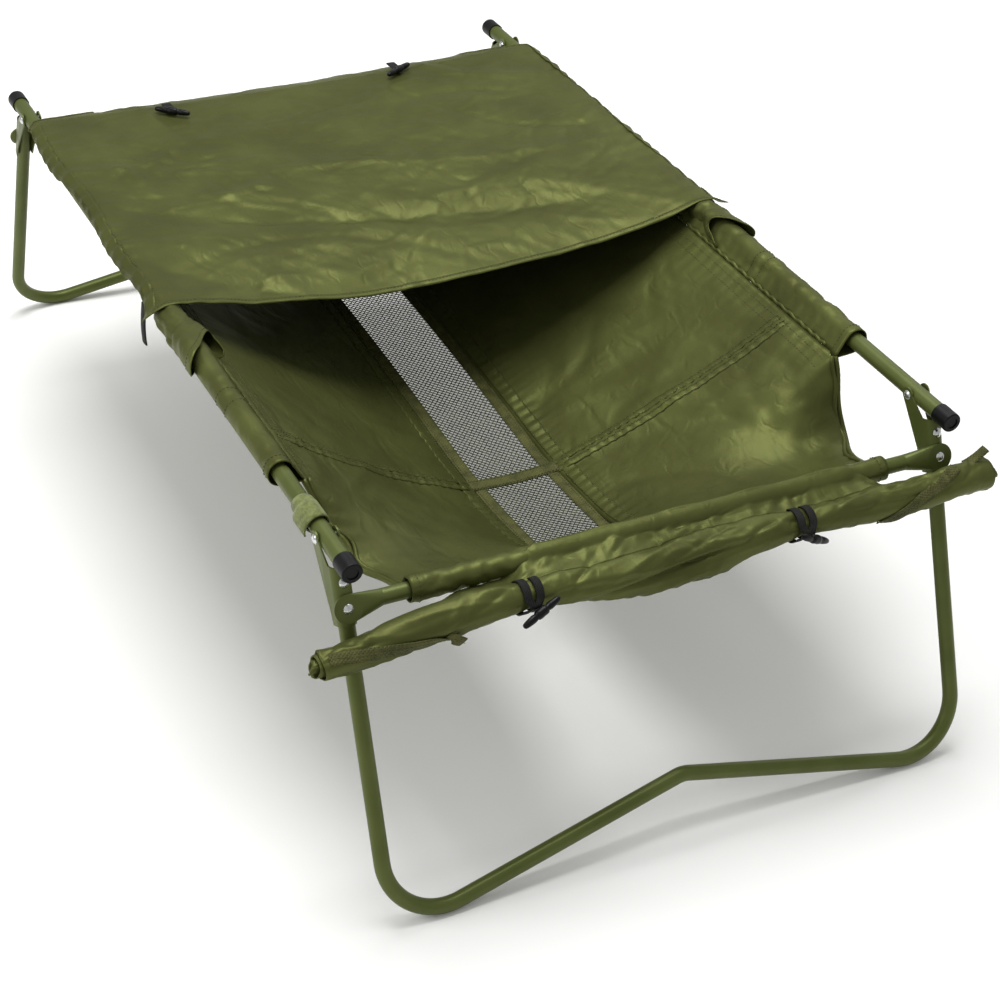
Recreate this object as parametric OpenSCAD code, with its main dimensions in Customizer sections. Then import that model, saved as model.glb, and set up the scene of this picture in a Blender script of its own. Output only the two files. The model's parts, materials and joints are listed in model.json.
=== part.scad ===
// Folding cot: a sagging fabric tub slung on two side rails and two crossbars, on folding U legs.
// +Y runs along the cot, +X across it, +Z up. The origin is on the floor under the middle of the cot.

/* [Frame] */
// Distance between the centre lines of the two side rails
rail_spacing = 650; // [620:5:680]
// Length over the end caps of one side rail
rail_length = 1065; // [1055:5:1085]
// Height of the rail centre line above the floor
rail_height = 352; // [340:1:370]
// Outside diameter of the side rails
rail_d = 18; // [17:0.5:18]
// Outside diameter of the leg and crossbar tubes
leg_d = 16; // [15:0.5:16]
// Wall thickness of every tube
tube_wall = 1.4; // [1:0.1:2]

/* [Fold] */
// Distance of each fold pivot from the middle of the cot
pivot_y = 470; // [465:1:475]
// Outward lean of the open legs from upright, in degrees
leg_tilt = 21.5; // [20:0.5:23]
// Distance of the leg centre line from the fold pivot
leg_offset = 21.5; // [21:0.5:23]

/* [Legs] */
// Bend radius at the two lower corners of a leg
corner_bend = 60; // [50:5:70]
// Bend radius at the raised middle of a leg's floor bar
middle_bend = 30; // [20:5:40]
// Rise of the floor bar towards its middle, in degrees
bar_rise = 12.8; // [10:0.2:14]
// Distance of the crossbar below the fold pivot, along the leg
crossbar_drop = 62; // [60:1:64]

/* [Fabric tub] */
// Width of the mesh strip in the floor of the tub
mesh_width = 100; // [90:5:110]
// Height of the mesh strip above the floor
mesh_height = 172; // [170:0.5:172]
// Half length of the straight middle of the tub
tub_half_length = 355; // [350:1:360]
// Thickness of a coated fabric layer
cloth = 1.2; // [1:0.1:1.2]

/* [Covers] */
// How far the free edge of the far cover lies in front of the middle
cover_edge_y = 50; // [40:5:60]
// Sag of the far cover at its free edge
cover_sag = 45; // [35:1:50]
// Diameter of the rolled up near cover
roll_d = 35; // [32:1:35]

/* [Hidden] */
$fn = 64;

tube_green = "#4c5f38";
cloth_green = "#5a6130";
webbing_green = "#34401f";
strap_green = "#7d8a4b";
toggle_black = "#1d1e1b";
net_grey = "#8f9682";
rivet_silver = "#c9cccb";

rail_x = rail_spacing / 2;
rail_r = rail_d / 2;
leg_r = leg_d / 2;
hair = 0.05;       // clearance between pieces that are fixed to each other
running = 0.08;    // clearance of a turning rivet in its hole
soft_gap = 0.4;    // clearance round cloth and between pieces that pass each other
past = 1;          // how far a cutter runs past what it cuts
joint_lap = 0.5;   // how far straight tube runs into a bend
bend_swell = 0.03; // how much a bend is thicker than the straight tube

// end caps
cap_length = 22;
cap_wall = 1.3;
cap_end = 2.5;
cap_recess_r = 6;
cap_recess_depth = 1.2;
cap_edge = 1.6;
rail_half = rail_length / 2 - cap_end;

// brackets: a channel round the front of the leg, with two ears beside the rail
steel = 1.6;
channel_r = leg_r + 0.15;
ear_x = rail_r + soft_gap;
ear_r = 8;
web_top = 23.5;
web_bottom = 79;
ear_joggle = 11;

// rivets
pivot_r = 3;
rivet_r = 2.5;
rivet_head_r = 5;
rivet_head_h = 2.4;
dome_r = 6.5;
bracket_rivet_drop = 37;
leg_top = 27;

// legs: how far down the leg plane the lowest point of the bend's centre line is
leg_reach = (rail_height - leg_r + leg_offset * sin(leg_tilt)) / cos(leg_tilt);

// crossbars
lap_wall = 2.2;
lap_r = 14;
lap_inner = channel_r + steel + hair;
neck_length = 24;
neck_start = 13;

// sleeves, tub and covers
sleeve_wall = 1.6;
rail_sleeve_r = rail_r + soft_gap + sleeve_wall;
bar_sleeve_r = leg_r + soft_gap + sleeve_wall;
rail_sleeve_half = 360;
bar_sleeve_half = 262;
seam_drop = rail_sleeve_r + soft_gap + cloth / 2;   // from the rail axis to the middle of a side panel
panel_edge_x = mesh_width / 2 + 2;
panel_edge_z = mesh_height + 6;
run_x = rail_x - panel_edge_x;
run_z = rail_height - panel_edge_z;
panel_width = sqrt(run_x * run_x + run_z * run_z - seam_drop * seam_drop);
panel_slope = atan2(run_z, run_x) - atan2(seam_drop, panel_width);
panel_start = 9;   // from under the rail axis to the edge of a side panel
seam_gap = 1;
webbing_y = 220;
tape_width = 12;
tape_thickness = 1;
webbing_width = 18;
webbing_rise = 2.3;

crossbar_y = pivot_y + leg_offset * cos(leg_tilt) + crossbar_drop * sin(leg_tilt);
crossbar_z = rail_height + leg_offset * sin(leg_tilt) - crossbar_drop * cos(leg_tilt);

// ---------------------------------------------------------------- placing

module far() { mirror([0, 1, 0]) children(); }

module both_sides() {
    children();
    mirror([1, 0, 0]) children();
}

// Puts a near leg piece, drawn upright with the fold pivot at the origin, in its open place.
module open_leg() {
    translate([0, -pivot_y, rail_height]) rotate([-leg_tilt, 0, 0]) children();
}

// ---------------------------------------------------------------- hardware

// A domed rivet head on the z = 0 plane
module dome(r) {
    intersection() {
        translate([0, 0, rivet_head_h - dome_r]) sphere(dome_r);
        cylinder(h = dome_r, r = r);
    }
}

module rail() {
    color(tube_green) difference() {
        rotate([90, 0, 0]) cylinder(h = 2 * rail_half, r = rail_r, center = true);
        rotate([90, 0, 0]) cylinder(h = 2 * rail_half + past, r = rail_r - tube_wall, center = true);
        for (y = [-pivot_y, pivot_y])
            translate([0, y, 0]) rotate([0, 90, 0])
                cylinder(h = rail_d + past, r = pivot_r + hair, center = true);
    }
}

module rail_left() { translate([-rail_x, 0, rail_height]) rail(); }
module rail_right() { translate([rail_x, 0, rail_height]) rail(); }

// Half section of a cap: x is the radius, y runs from the outer face inwards
module cap_section() {
    outer = rail_r + hair + cap_wall;
    difference() {
        union() {
            translate([0, cap_edge]) square([outer, cap_length - cap_edge]);
            square([outer - cap_edge, cap_edge]);
            intersection() {
                translate([outer - cap_edge, cap_edge]) circle(cap_edge);
                square([outer, cap_edge]);
            }
        }
        translate([0, cap_end]) square([rail_r + hair, cap_length]);
        square([cap_recess_r, cap_recess_depth]);
    }
}

module end_cap_near_right() {
    color(toggle_black) translate([rail_x, -rail_length / 2, rail_height])
        rotate([-90, 0, 0]) rotate_extrude() cap_section();
}
module end_cap_near_left() { mirror([1, 0, 0]) end_cap_near_right(); }
module end_cap_far_right() { far() end_cap_near_right(); }
module end_cap_far_left() { far() end_cap_near_left(); }

// Rivets that run through both ears and the rail, headed at both ends
module pivot_rivets_near() {
    half = ear_x + steel + 2 * running;
    color(rivet_silver) both_sides() translate([rail_x, -pivot_y, rail_height]) rotate([0, 90, 0]) {
        cylinder(h = 2 * half, r = pivot_r, center = true);
        translate([0, 0, half]) dome(rivet_head_r);
        translate([0, 0, -half]) mirror([0, 0, 1]) dome(rivet_head_r);
    }
}
module pivot_rivets_far() { far() pivot_rivets_near(); }

// A straight piece of tube between two points of the leg plane
module straight(from, to, r) {
    run = to - from;
    translate(from) rotate([0, 0, atan2(run.y, run.x)]) rotate([0, 90, 0])
        translate([0, 0, -joint_lap]) cylinder(h = norm(run) + 2 * joint_lap, r = r);
}

// A bend of tube about a point of the leg plane
module bend(middle, radius, start, turn, r) {
    translate(middle) rotate([0, 0, start]) rotate_extrude(angle = turn)
        translate([radius, 0]) circle(r + bend_swell);
}

// The whole leg as a rod of radius r, drawn upright; over lengthens its two open ends
module leg_rod(r, over) {
    bend_z = -leg_reach + corner_bend;
    bar_start = [-rail_x + corner_bend * (1 + sin(bar_rise)), bend_z - corner_bend * cos(bar_rise)];
    bar_end_x = -middle_bend * sin(bar_rise);
    bar_end = [bar_end_x, bar_start.y + (bar_end_x - bar_start.x) * tan(bar_rise)];
    translate([0, -leg_offset, 0]) rotate([90, 0, 0]) {
        both_sides() {
            straight([-rail_x, -leg_top + over], [-rail_x, bend_z], r);
            bend([-rail_x + corner_bend, bend_z], corner_bend, 180, 90 + bar_rise, r);
            straight(bar_start, bar_end, r);
        }
        bend([0, bar_end.y - middle_bend * cos(bar_rise)], middle_bend, 90 - bar_rise, 2 * bar_rise, r);
    }
}

// Cutters for the two rivets in the front of each upright
module front_rivet_holes(r) {
    both_sides() for (drop = [bracket_rivet_drop, crossbar_drop])
        translate([rail_x, -leg_offset, -drop]) rotate([90, 0, 0]) cylinder(h = 3 * leg_r, r = r);
}

module leg_near() {
    color(tube_green) open_leg() difference() {
        leg_rod(leg_r, 0);
        leg_rod(leg_r - tube_wall, past);
        front_rivet_holes(rivet_r + hair);
    }
}
module leg_far() { far() leg_near(); }

// A channel's outline, of half width r round the leg axis and half width ear beyond the joggle
module channel_shape(r, ear, reach) {
    translate([0, -leg_offset]) circle(r);
    polygon([
        [-r, -leg_offset], [r, -leg_offset], [ear, -leg_offset + ear_joggle], [ear, reach],
        [-ear, reach], [-ear, -leg_offset + ear_joggle]
    ]);
}

// Cross section of a bracket: the leg axis is at [0, -leg_offset]
module bracket_section() {
    difference() {
        channel_shape(channel_r + steel, ear_x + steel, ear_r + past);
        channel_shape(channel_r, ear_x, ear_r + 2 * past);
    }
}

// Side outline of a bracket: the ear round the pivot runs down and out into the channel
module bracket_outline() {
    front = -leg_offset - channel_r - steel - past;
    circle(ear_r);
    polygon([
        [-ear_r, -1], [-leg_offset + 1, -web_top + 2], [front, -web_top], [front, -web_bottom],
        [-leg_offset + 6, -web_bottom], [-leg_offset + 9, -crossbar_drop], [ear_r, -1]
    ]);
}

module bracket_near_right() {
    color(tube_green) open_leg() translate([rail_x, 0, 0]) difference() {
        intersection() {
            translate([0, 0, -web_bottom - past]) linear_extrude(web_bottom + ear_r + 2 * past)
                bracket_section();
            rotate([90, 0, 90]) linear_extrude(2 * (ear_x + steel) + past, center = true) bracket_outline();
        }
        rotate([0, 90, 0]) cylinder(h = 4 * ear_x, r = pivot_r + running, center = true);
        translate([-rail_x, 0, 0]) front_rivet_holes(rivet_r + hair);
    }
}
module bracket_near_left() { mirror([1, 0, 0]) bracket_near_right(); }
module bracket_far_right() { far() bracket_near_right(); }
module bracket_far_left() { far() bracket_near_left(); }

// The right end of a crossbar: the tube flattens like a spoon into a round plate on the bracket's front
module crossbar_end() {
    hull() {
        translate([rail_x - neck_start - neck_length, -leg_offset, -crossbar_drop]) rotate([0, 90, 0])
            cylinder(h = 1, r = leg_r, $fn = 32);
        translate([rail_x, -leg_offset - lap_inner, -crossbar_drop]) rotate([90, 0, 0])
            cylinder(h = lap_wall, r = lap_r, $fn = 32);
    }
}

module crossbar_near() {
    bar_half = rail_x - neck_start - neck_length;
    color(tube_green) open_leg() difference() {
        union() {
            both_sides() crossbar_end();
            translate([0, -leg_offset, -crossbar_drop]) rotate([0, 90, 0])
                cylinder(h = 2 * bar_half, r = leg_r, center = true);
        }
        translate([0, -leg_offset, -crossbar_drop]) rotate([0, 90, 0])
            cylinder(h = 2 * bar_half, r = leg_r - tube_wall, center = true);
        both_sides() translate([rail_x, -leg_offset, -crossbar_drop])
            cylinder(h = 3 * lap_r, r = lap_inner, center = true);
        front_rivet_holes(rivet_r + hair);
    }
}
module crossbar_far() { far() crossbar_near(); }

// A rivet from the front of the upright, through a wall stack that ends at height out from the leg axis
module front_rivet(drop, out) {
    translate([rail_x, -leg_offset, -drop]) rotate([90, 0, 0]) {
        translate([0, 0, leg_r - 3]) cylinder(h = out - leg_r + 3, r = rivet_r);
        translate([0, 0, out]) dome(rivet_head_r);
    }
}

module bracket_rivets_near() {
    color(rivet_silver) open_leg() both_sides() front_rivet(bracket_rivet_drop, channel_r + steel + hair);
}
module bracket_rivets_far() { far() bracket_rivets_near(); }

module crossbar_rivets_near() {
    color(rivet_silver) open_leg() both_sides() front_rivet(crossbar_drop, lap_inner + lap_wall + hair);
}
module crossbar_rivets_far() { far() crossbar_rivets_near(); }

// ---------------------------------------------------------------- tub

module sleeve_tube(half, inner, outer) {
    difference() {
        cylinder(h = 2 * half, r = outer, center = true);
        cylinder(h = 2 * half + past, r = inner, center = true);
    }
}

module crossbar_sleeve_near() {
    color(cloth_green) translate([0, -crossbar_y, crossbar_z]) rotate([0, 90, 0])
        sleeve_tube(bar_sleeve_half, leg_r + soft_gap, bar_sleeve_r);
}
module crossbar_sleeve_far() { far() crossbar_sleeve_near(); }

module rail_sleeve_left() {
    color(cloth_green) translate([-rail_x, 0, rail_height]) rotate([90, 0, 0])
        sleeve_tube(rail_sleeve_half, rail_r + soft_gap, rail_sleeve_r);
}
module rail_sleeve_right() { mirror([1, 0, 0]) rail_sleeve_left(); }

// A side panel slopes from under its rail down to the mesh
module side_panel_left() {
    color(cloth_green) translate([-rail_x, 0, rail_height]) rotate([0, panel_slope, 0])
        translate([panel_start, -tub_half_length, -seam_drop - cloth / 2])
            cube([panel_width - panel_start, 2 * tub_half_length, cloth]);
}
module side_panel_right() { mirror([1, 0, 0]) side_panel_left(); }

module mesh_panel() {
    color(net_grey) translate([-mesh_width / 2, -tub_half_length, mesh_height - cloth])
        cube([mesh_width, 2 * tub_half_length, cloth]);
}

// The tape sewn along one edge of the mesh
module mesh_tape_right() {
    color(webbing_green) translate([mesh_width / 2 - tape_width, -tub_half_length, mesh_height + seam_gap / 5])
        cube([tape_width, 2 * tub_half_length, tape_thickness]);
}
module mesh_tape_left() { mirror([1, 0, 0]) mesh_tape_right(); }

// A flat piece of cloth with the given corners
module patch(corners) {
    hull() for (p = corners) translate(p) sphere(cloth / 2, $fn = 8);
}

// The near end of the tub rises to the crossbar; its two corners hang open between rail and crossbar
module tub_end_near() {
    start_y = -tub_half_length - 1.5 * seam_gap;
    top = [-crossbar_y + 9.5, crossbar_z - 9.5];
    rail_corner = [rail_x - 6, start_y, rail_height - 18];
    floor_corner = [panel_edge_x, start_y, panel_edge_z];
    hang = [rail_x - 25, start_y - 42, rail_height - 88];
    bar_corner = [bar_sleeve_half - 12, top[0], top[1]];
    bar_middle = [panel_edge_x, top[0], top[1]];
    color(cloth_green) {
        both_sides() {
            patch([rail_corner, floor_corner, hang]);
            patch([hang, floor_corner, bar_corner]);
            patch([floor_corner, bar_middle, bar_corner]);
        }
        patch([for (p = [floor_corner, bar_middle], s = [-1, 1]) [s * p.x, p.y, p.z]]);
    }
}
module tub_end_far() { far() tub_end_near(); }

module cross_webbing_near() {
    color(webbing_green) translate([0, -webbing_y, mesh_height + webbing_rise + tape_thickness / 2])
        cube([mesh_width, webbing_width, tape_thickness], center = true);
}
module cross_webbing_far() { far() cross_webbing_near(); }

// ---------------------------------------------------------------- far cover

cover_edge_x = 345;
cover_rest_x = rail_x - 12;                 // inside this the cover sags, outside it rests on the rail
cover_rest_z = rail_height + 14;            // underside of the cover over the rails
cover_corner_y = 421;                       // beyond this the cover narrows to the crossbar
cover_tail_x = 250;
cover_tail_y = crossbar_y + 4;
cover_even_sag = 8;
cover_sag_fade = 70;

function sag_at(y) =
    cover_even_sag + (cover_sag - cover_even_sag) * exp(-(y + cover_edge_y) / cover_sag_fade);
function sagging(x, y) = cover_rest_z - sag_at(y) * (1 - pow(min(abs(x), cover_rest_x) / cover_rest_x, 2));
function side_drop(x) = 14 * pow(max(abs(x) - rail_x - 10, 0) / 10, 2);
function cover_z(x, y) = sagging(x, y) - side_drop(x);
function tail_z(x, y) =
    let (t = (y - cover_corner_y) / (cover_tail_y - cover_corner_y), from = cover_z(x, cover_corner_y))
    from + (crossbar_z + bar_sleeve_r + 1.5 - from) * t * t * (3 - 2 * t);

// A sheet of cloth over a grid of xs by ys, whose underside has the heights z[i][j]
module sheet(xs, ys, z) {
    nx = len(xs);
    ny = len(ys);
    half = nx * ny;
    rim = concat([for (i = [0:nx - 2]) i], [for (j = [0:ny - 2]) nx - 1 + j * nx],
        [for (i = [nx - 1:-1:1]) i + (ny - 1) * nx], [for (j = [ny - 1:-1:1]) j * nx]);
    polyhedron(
        points = [for (top = [0, cloth], j = [0:ny - 1], i = [0:nx - 1]) [xs[i], ys[j], z[i][j] + top]],
        faces = concat(
            [for (j = [0:ny - 2], i = [0:nx - 2], k = [0, 1])
                let (a = i + j * nx) k == 0 ? [a, a + 1, a + nx + 1] : [a, a + nx + 1, a + nx]],
            [for (j = [0:ny - 2], i = [0:nx - 2], k = [0, 1])
                let (a = half + i + j * nx) k == 0 ? [a, a + nx + 1, a + 1] : [a, a + nx, a + nx + 1]],
            [for (e = [0:len(rim) - 1], k = [0, 1])
                let (p = rim[e], q = rim[(e + 1) % len(rim)])
                k == 0 ? [p, p + half, q + half] : [p, q + half, q]]
        )
    );
}

module cover_far() {
    inner_xs = [-340, -335, -313, -260, -200, -130, -60, 0, 60, 130, 200, 260, 313, 335, 340];
    main_xs = [-cover_edge_x, each inner_xs, cover_edge_x];
    main_ys = [-cover_edge_y, -20, 20, 70, 140, 240, 340, cover_corner_y];
    tail_xs = [for (k = [-4:4]) k * cover_tail_x / 4];
    tail_ys = [for (k = [0:6]) cover_corner_y + (cover_tail_y - cover_corner_y) * k / 6];
    color(cloth_green) {
        sheet(main_xs, main_ys, [for (x = main_xs) [for (y = main_ys) cover_z(x, y)]]);
        sheet(tail_xs, tail_ys, [for (x = tail_xs) [for (y = tail_ys) tail_z(x, y)]]);
    }
}

// The cover's side tunnels come out from under its free edge and run on along the rail sleeves
module cover_cuff_left() {
    color(cloth_green) translate([-rail_x, -100, rail_height]) rotate([90, 0, 0])
        sleeve_tube(55, rail_sleeve_r + soft_gap, rail_sleeve_r + soft_gap + sleeve_wall);
}
module cover_cuff_right() { mirror([1, 0, 0]) cover_cuff_left(); }

// ---------------------------------------------------------------- near cover and small pieces

// The rolled cover runs level from the right, then bends and droops to its left end
roll_y = -551;
roll_r = roll_d / 2;
roll_top = [-200, 291];     // the highest point of its middle line, in x and z
roll_bend = 300;
roll_droop = 7.9;
roll_fall = 0.5;
roll_bulge = 0.6;
roll_left_length = 132;
roll_right_length = 570;

module rolled_cover() {
    middle = roll_top - [0, roll_bend];
    left = middle + roll_bend * [-sin(roll_droop), cos(roll_droop)];
    right = middle + roll_bend * [sin(roll_fall), cos(roll_fall)];
    color(cloth_green) translate([0, roll_y, 0]) rotate([90, 0, 0]) {
        straight(left - roll_left_length * [cos(roll_droop), sin(roll_droop)], left, roll_r);
        bend(middle, roll_bend, 90 - roll_fall, roll_droop + roll_fall, roll_r + roll_bulge);
        straight(right, right + roll_right_length * [cos(roll_fall), -sin(roll_fall)], roll_r);
    }
}

loop_width = 5;
loop_spacing = 12;
loop_wall = 1.2;
loop_gap = 1.4;
LOOPS = [-158, 140];

module elastic_loops_near() {
    color(toggle_black) for (x = LOOPS, side = [-1, 1])
        translate([x + side * loop_spacing / 2, roll_y, roll_top[1] - (x - roll_top[0]) * tan(roll_fall)])
            rotate([0, 90, 0])
                sleeve_tube(loop_width / 2, roll_r + loop_gap, roll_r + loop_gap + loop_wall);
}

toggle_length = 44;

// A toggle along X with its loop hole block in the middle
module toggle() {
    color(toggle_black) rotate([0, 90, 0]) {
        for (m = [0, 1]) mirror([0, 0, m]) cylinder(h = toggle_length / 2, r1 = 3.6, r2 = 2.8);
        cylinder(h = 13, r = 4.6, center = true);
    }
}

// The near toggles hang in front of their loops, each at its own slant
toggle_near_y = roll_y - 26;
toggle_near_z = 284;
toggle_slants = [-22, 30];
module toggle_near(k) {
    translate([LOOPS[k] + 2, toggle_near_y, toggle_near_z]) rotate([0, toggle_slants[k], 0]) toggle();
}
module toggle_near_left() { toggle_near(0); }
module toggle_near_right() { toggle_near(1); }

far_toggle_z = cover_z(170, 395) + cloth + 5.2;
module toggle_far_left() { translate([-170, 396, far_toggle_z]) rotate([0, 0, -40]) toggle(); }
module toggle_far_right() { translate([139, 405, far_toggle_z + 1]) rotate([0, 0, 30]) toggle(); }

strap_width = 13;
module toggle_straps_far() {
    color(toggle_black) {
        translate([-178, 412, far_toggle_z + 1]) cube([strap_width, 28, tape_thickness]);
        translate([146, 422, far_toggle_z + 2]) cube([strap_width, 22, tape_thickness]);
    }
}

// A hook and loop strap round the left rail, which ties the folded leg to it
module hook_strap() {
    color(strap_green) translate([-rail_x, -432, rail_height]) rotate([90, 0, 0]) sleeve_tube(15, 12.4, 14.2);
}

// A tape end that hangs outside the left cuff, under the far cover's free corner
tab_place = [-rail_x - 18, -12, rail_height - 52];
tab_size = [2, 10, 36];
module side_tab() {
    color(toggle_black) translate(tab_place) cube(tab_size);
}

rail_left();
rail_right();
end_cap_near_left();
end_cap_near_right();
end_cap_far_left();
end_cap_far_right();
pivot_rivets_near();
pivot_rivets_far();
leg_near();
leg_far();
bracket_near_left();
bracket_near_right();
bracket_far_left();
bracket_far_right();
crossbar_near();
crossbar_far();
bracket_rivets_near();
bracket_rivets_far();
crossbar_rivets_near();
crossbar_rivets_far();
crossbar_sleeve_near();
crossbar_sleeve_far();
rolled_cover();
elastic_loops_near();
toggle_near_left();
toggle_near_right();
side_panel_left();
side_panel_right();
mesh_panel();
mesh_tape_left();
mesh_tape_right();
tub_end_near();
tub_end_far();
cross_webbing_near();
cross_webbing_far();
rail_sleeve_left();
rail_sleeve_right();
cover_far();
cover_cuff_left();
cover_cuff_right();
toggle_far_left();
toggle_far_right();
toggle_straps_far();
hook_strap();
side_tab();
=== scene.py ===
"""Folding cradle cot: a coated nylon tub on folding legs, half under one cover, with a second one rolled up.

Every length here is in millimetres until a mesh is made, and the model's own unit is the metre.
The right half (+X) of a paired piece is worked out first, and the left one mirrors it with its own folds.
"""

import json
import math

import bpy
import numpy as np
from mathutils import Matrix, Vector


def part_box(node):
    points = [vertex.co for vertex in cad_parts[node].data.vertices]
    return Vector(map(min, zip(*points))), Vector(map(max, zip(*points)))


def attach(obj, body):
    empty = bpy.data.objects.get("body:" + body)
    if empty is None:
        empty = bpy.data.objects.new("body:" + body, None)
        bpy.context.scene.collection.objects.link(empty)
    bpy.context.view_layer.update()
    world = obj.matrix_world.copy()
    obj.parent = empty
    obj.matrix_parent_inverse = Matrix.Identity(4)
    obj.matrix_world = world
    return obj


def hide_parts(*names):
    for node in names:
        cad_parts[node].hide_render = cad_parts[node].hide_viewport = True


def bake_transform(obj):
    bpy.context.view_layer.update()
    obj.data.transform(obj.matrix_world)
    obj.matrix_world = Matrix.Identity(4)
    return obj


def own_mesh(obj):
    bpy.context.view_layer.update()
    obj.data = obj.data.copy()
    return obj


bl_info = {
    "name": "Folding cradle cot",
    "version": (1, 0, 0),
    "blender": (4, 5, 0),
    "location": "3D View > Sidebar > Cot",
    "description": "Builds the cloth, straps and finishes of a folding cradle cot round its frame",
    "category": "Object",
}

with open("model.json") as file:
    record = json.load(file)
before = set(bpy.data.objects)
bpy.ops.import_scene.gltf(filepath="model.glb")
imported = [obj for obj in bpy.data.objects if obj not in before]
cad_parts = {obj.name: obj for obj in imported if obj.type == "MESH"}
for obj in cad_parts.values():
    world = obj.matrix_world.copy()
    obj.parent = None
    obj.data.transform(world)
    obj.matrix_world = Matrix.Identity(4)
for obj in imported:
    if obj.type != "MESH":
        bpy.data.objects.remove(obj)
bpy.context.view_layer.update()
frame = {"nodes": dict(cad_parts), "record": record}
MM = 0.001
SIDES = ((-1, "left"), (1, "right"))
ENDS = ((-1, "near"), (1, "far"))


def size_of(node):
    """Lowest and highest corner of a frame piece, in millimetres."""
    low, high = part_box(node)
    return np.array(low) / MM, np.array(high) / MM


# Places read from the frame
RAIL_LOW, RAIL_HIGH = size_of("rail_right")
RAIL_X = (RAIL_LOW[0] + RAIL_HIGH[0]) / 2
RAIL_Z = (RAIL_LOW[2] + RAIL_HIGH[2]) / 2
BAR_LOW, BAR_HIGH = size_of("crossbar_sleeve_far")
BAR_Y = (BAR_LOW[1] + BAR_HIGH[1]) / 2
BAR_Z = (BAR_LOW[2] + BAR_HIGH[2]) / 2
BAR_HALF = BAR_HIGH[0]
STRIP_X, TUB_HALF, _ = size_of("mesh_panel")[1]
ROLL_LOW, ROLL_HIGH = size_of("rolled_cover")
ROLL_Y = (ROLL_LOW[1] + ROLL_HIGH[1]) / 2
COVER_EDGE_Y = size_of("cover_far")[0][1]

# The soft pieces' fold settings: the joint, a height in metres and a share of their own height
FOLD = "near_leg_fold"
TUB_FOLD = {"joint": FOLD, "anchor": 0.3452, "keep": 0.035}
COVER_FOLD = {"joint": FOLD, "anchor": 0.366, "keep": 0.15}
STRAP_FOLD = {"joint": FOLD, "anchor": 0.3605, "keep": 0.55}


# ---------------------------------------------------------------- settings


def linear(code):
    """A colour for a shader from an sRGB hex value."""
    values = [int(code[i : i + 2], 16) / 255 for i in (0, 2, 4)]
    return tuple(v / 12.92 if v <= 0.04045 else ((v + 0.055) / 1.055) ** 2.4 for v in values) + (1.0,)


class CotSettings(bpy.types.PropertyGroup):
    """Sizes and colours of the cot's soft pieces."""

    cloth: bpy.props.FloatProperty(
        name="Cloth thickness",
        description="Thickness of the coated nylon",
        default=0.001,
        min=0.0004,
        max=0.002,
        unit="LENGTH",
    )
    tub_sag: bpy.props.FloatProperty(
        name="Panel sag",
        description="How far a side panel hangs below a straight line",
        default=0.009,
        min=0.0,
        max=0.03,
        unit="LENGTH",
    )
    cover_sag: bpy.props.FloatProperty(
        name="Cover sag",
        description="How far the far cover's free edge hangs below the rails",
        default=0.044,
        min=0.007,
        max=0.08,
        unit="LENGTH",
    )
    cover_hollow: bpy.props.FloatProperty(
        name="Cover hollow",
        description="Depth of the hollow behind the far cover's free edge",
        default=0.013,
        min=0.0,
        max=0.03,
        unit="LENGTH",
    )
    folds: bpy.props.FloatProperty(
        name="Fold height",
        description="Height of the soft folds, where 1 is as worn cloth has them",
        default=1.0,
        min=0.0,
        max=2.0,
        subtype="FACTOR",
    )
    net_pitch: bpy.props.FloatProperty(
        name="Net pitch",
        description="Distance between the holes of the net",
        default=0.006,
        min=0.0025,
        max=0.008,
        unit="LENGTH",
    )
    net_thread: bpy.props.FloatProperty(
        name="Net thread",
        description="Thickness of a thread of the net",
        default=0.0013,
        min=0.0004,
        max=0.002,
        unit="LENGTH",
    )
    stitch_pitch: bpy.props.FloatProperty(
        name="Stitch pitch",
        description="Distance from stitch to stitch",
        default=0.0042,
        min=0.002,
        max=0.008,
        unit="LENGTH",
    )
    cloth_colour: bpy.props.FloatVectorProperty(
        name="Cloth colour",
        description="Colour of the coated nylon",
        default=linear("464926"),
        size=4,
        min=0.0,
        max=1.0,
        subtype="COLOR",
    )
    paint_colour: bpy.props.FloatVectorProperty(
        name="Paint colour",
        description="Colour of the tubes' powder coat",
        default=linear("4a5227"),
        size=4,
        min=0.0,
        max=1.0,
        subtype="COLOR",
    )


def settings():
    return bpy.context.scene.cot_settings


def setting_mm(key):
    """A length among the settings in millimetres, cleared of its single precision."""
    return round(getattr(settings(), key) / MM, 4)


# ---------------------------------------------------------------- materials


def add_node(tree, kind, inputs=None, links=None, **settings_):
    """One node of this kind, with its settings, its input values and its links from other sockets."""
    node = tree.nodes.new(kind)
    for key, value in settings_.items():
        setattr(node, key, value)
    for key, value in (inputs or {}).items():
        node.inputs[key].default_value = value
    for key, socket in (links or {}).items():
        tree.links.new(socket, node.inputs[key])
    return node


def new_material(name):
    """An empty material with its shader, and its coordinates: (material, tree, shader, object, uv)."""
    material = bpy.data.materials.new(name)
    material.use_nodes = True
    tree = material.node_tree
    tree.nodes.clear()
    shader = add_node(tree, "ShaderNodeBsdfPrincipled")
    add_node(tree, "ShaderNodeOutputMaterial", links={"Surface": shader.outputs[0]})
    coords = add_node(tree, "ShaderNodeTexCoord")
    return material, tree, shader, coords.outputs["Object"], coords.outputs["UV"]


def set_shader(shader, **values):
    for key, value in values.items():
        shader.inputs[key.replace("_", " ")].default_value = value


def noise_of(tree, coords, size, **inputs):
    """A noise texture whose grains are about size mm across."""
    return add_node(tree, "ShaderNodeTexNoise", {"Scale": 1 / (size * MM), **inputs}, {"Vector": coords})


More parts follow.
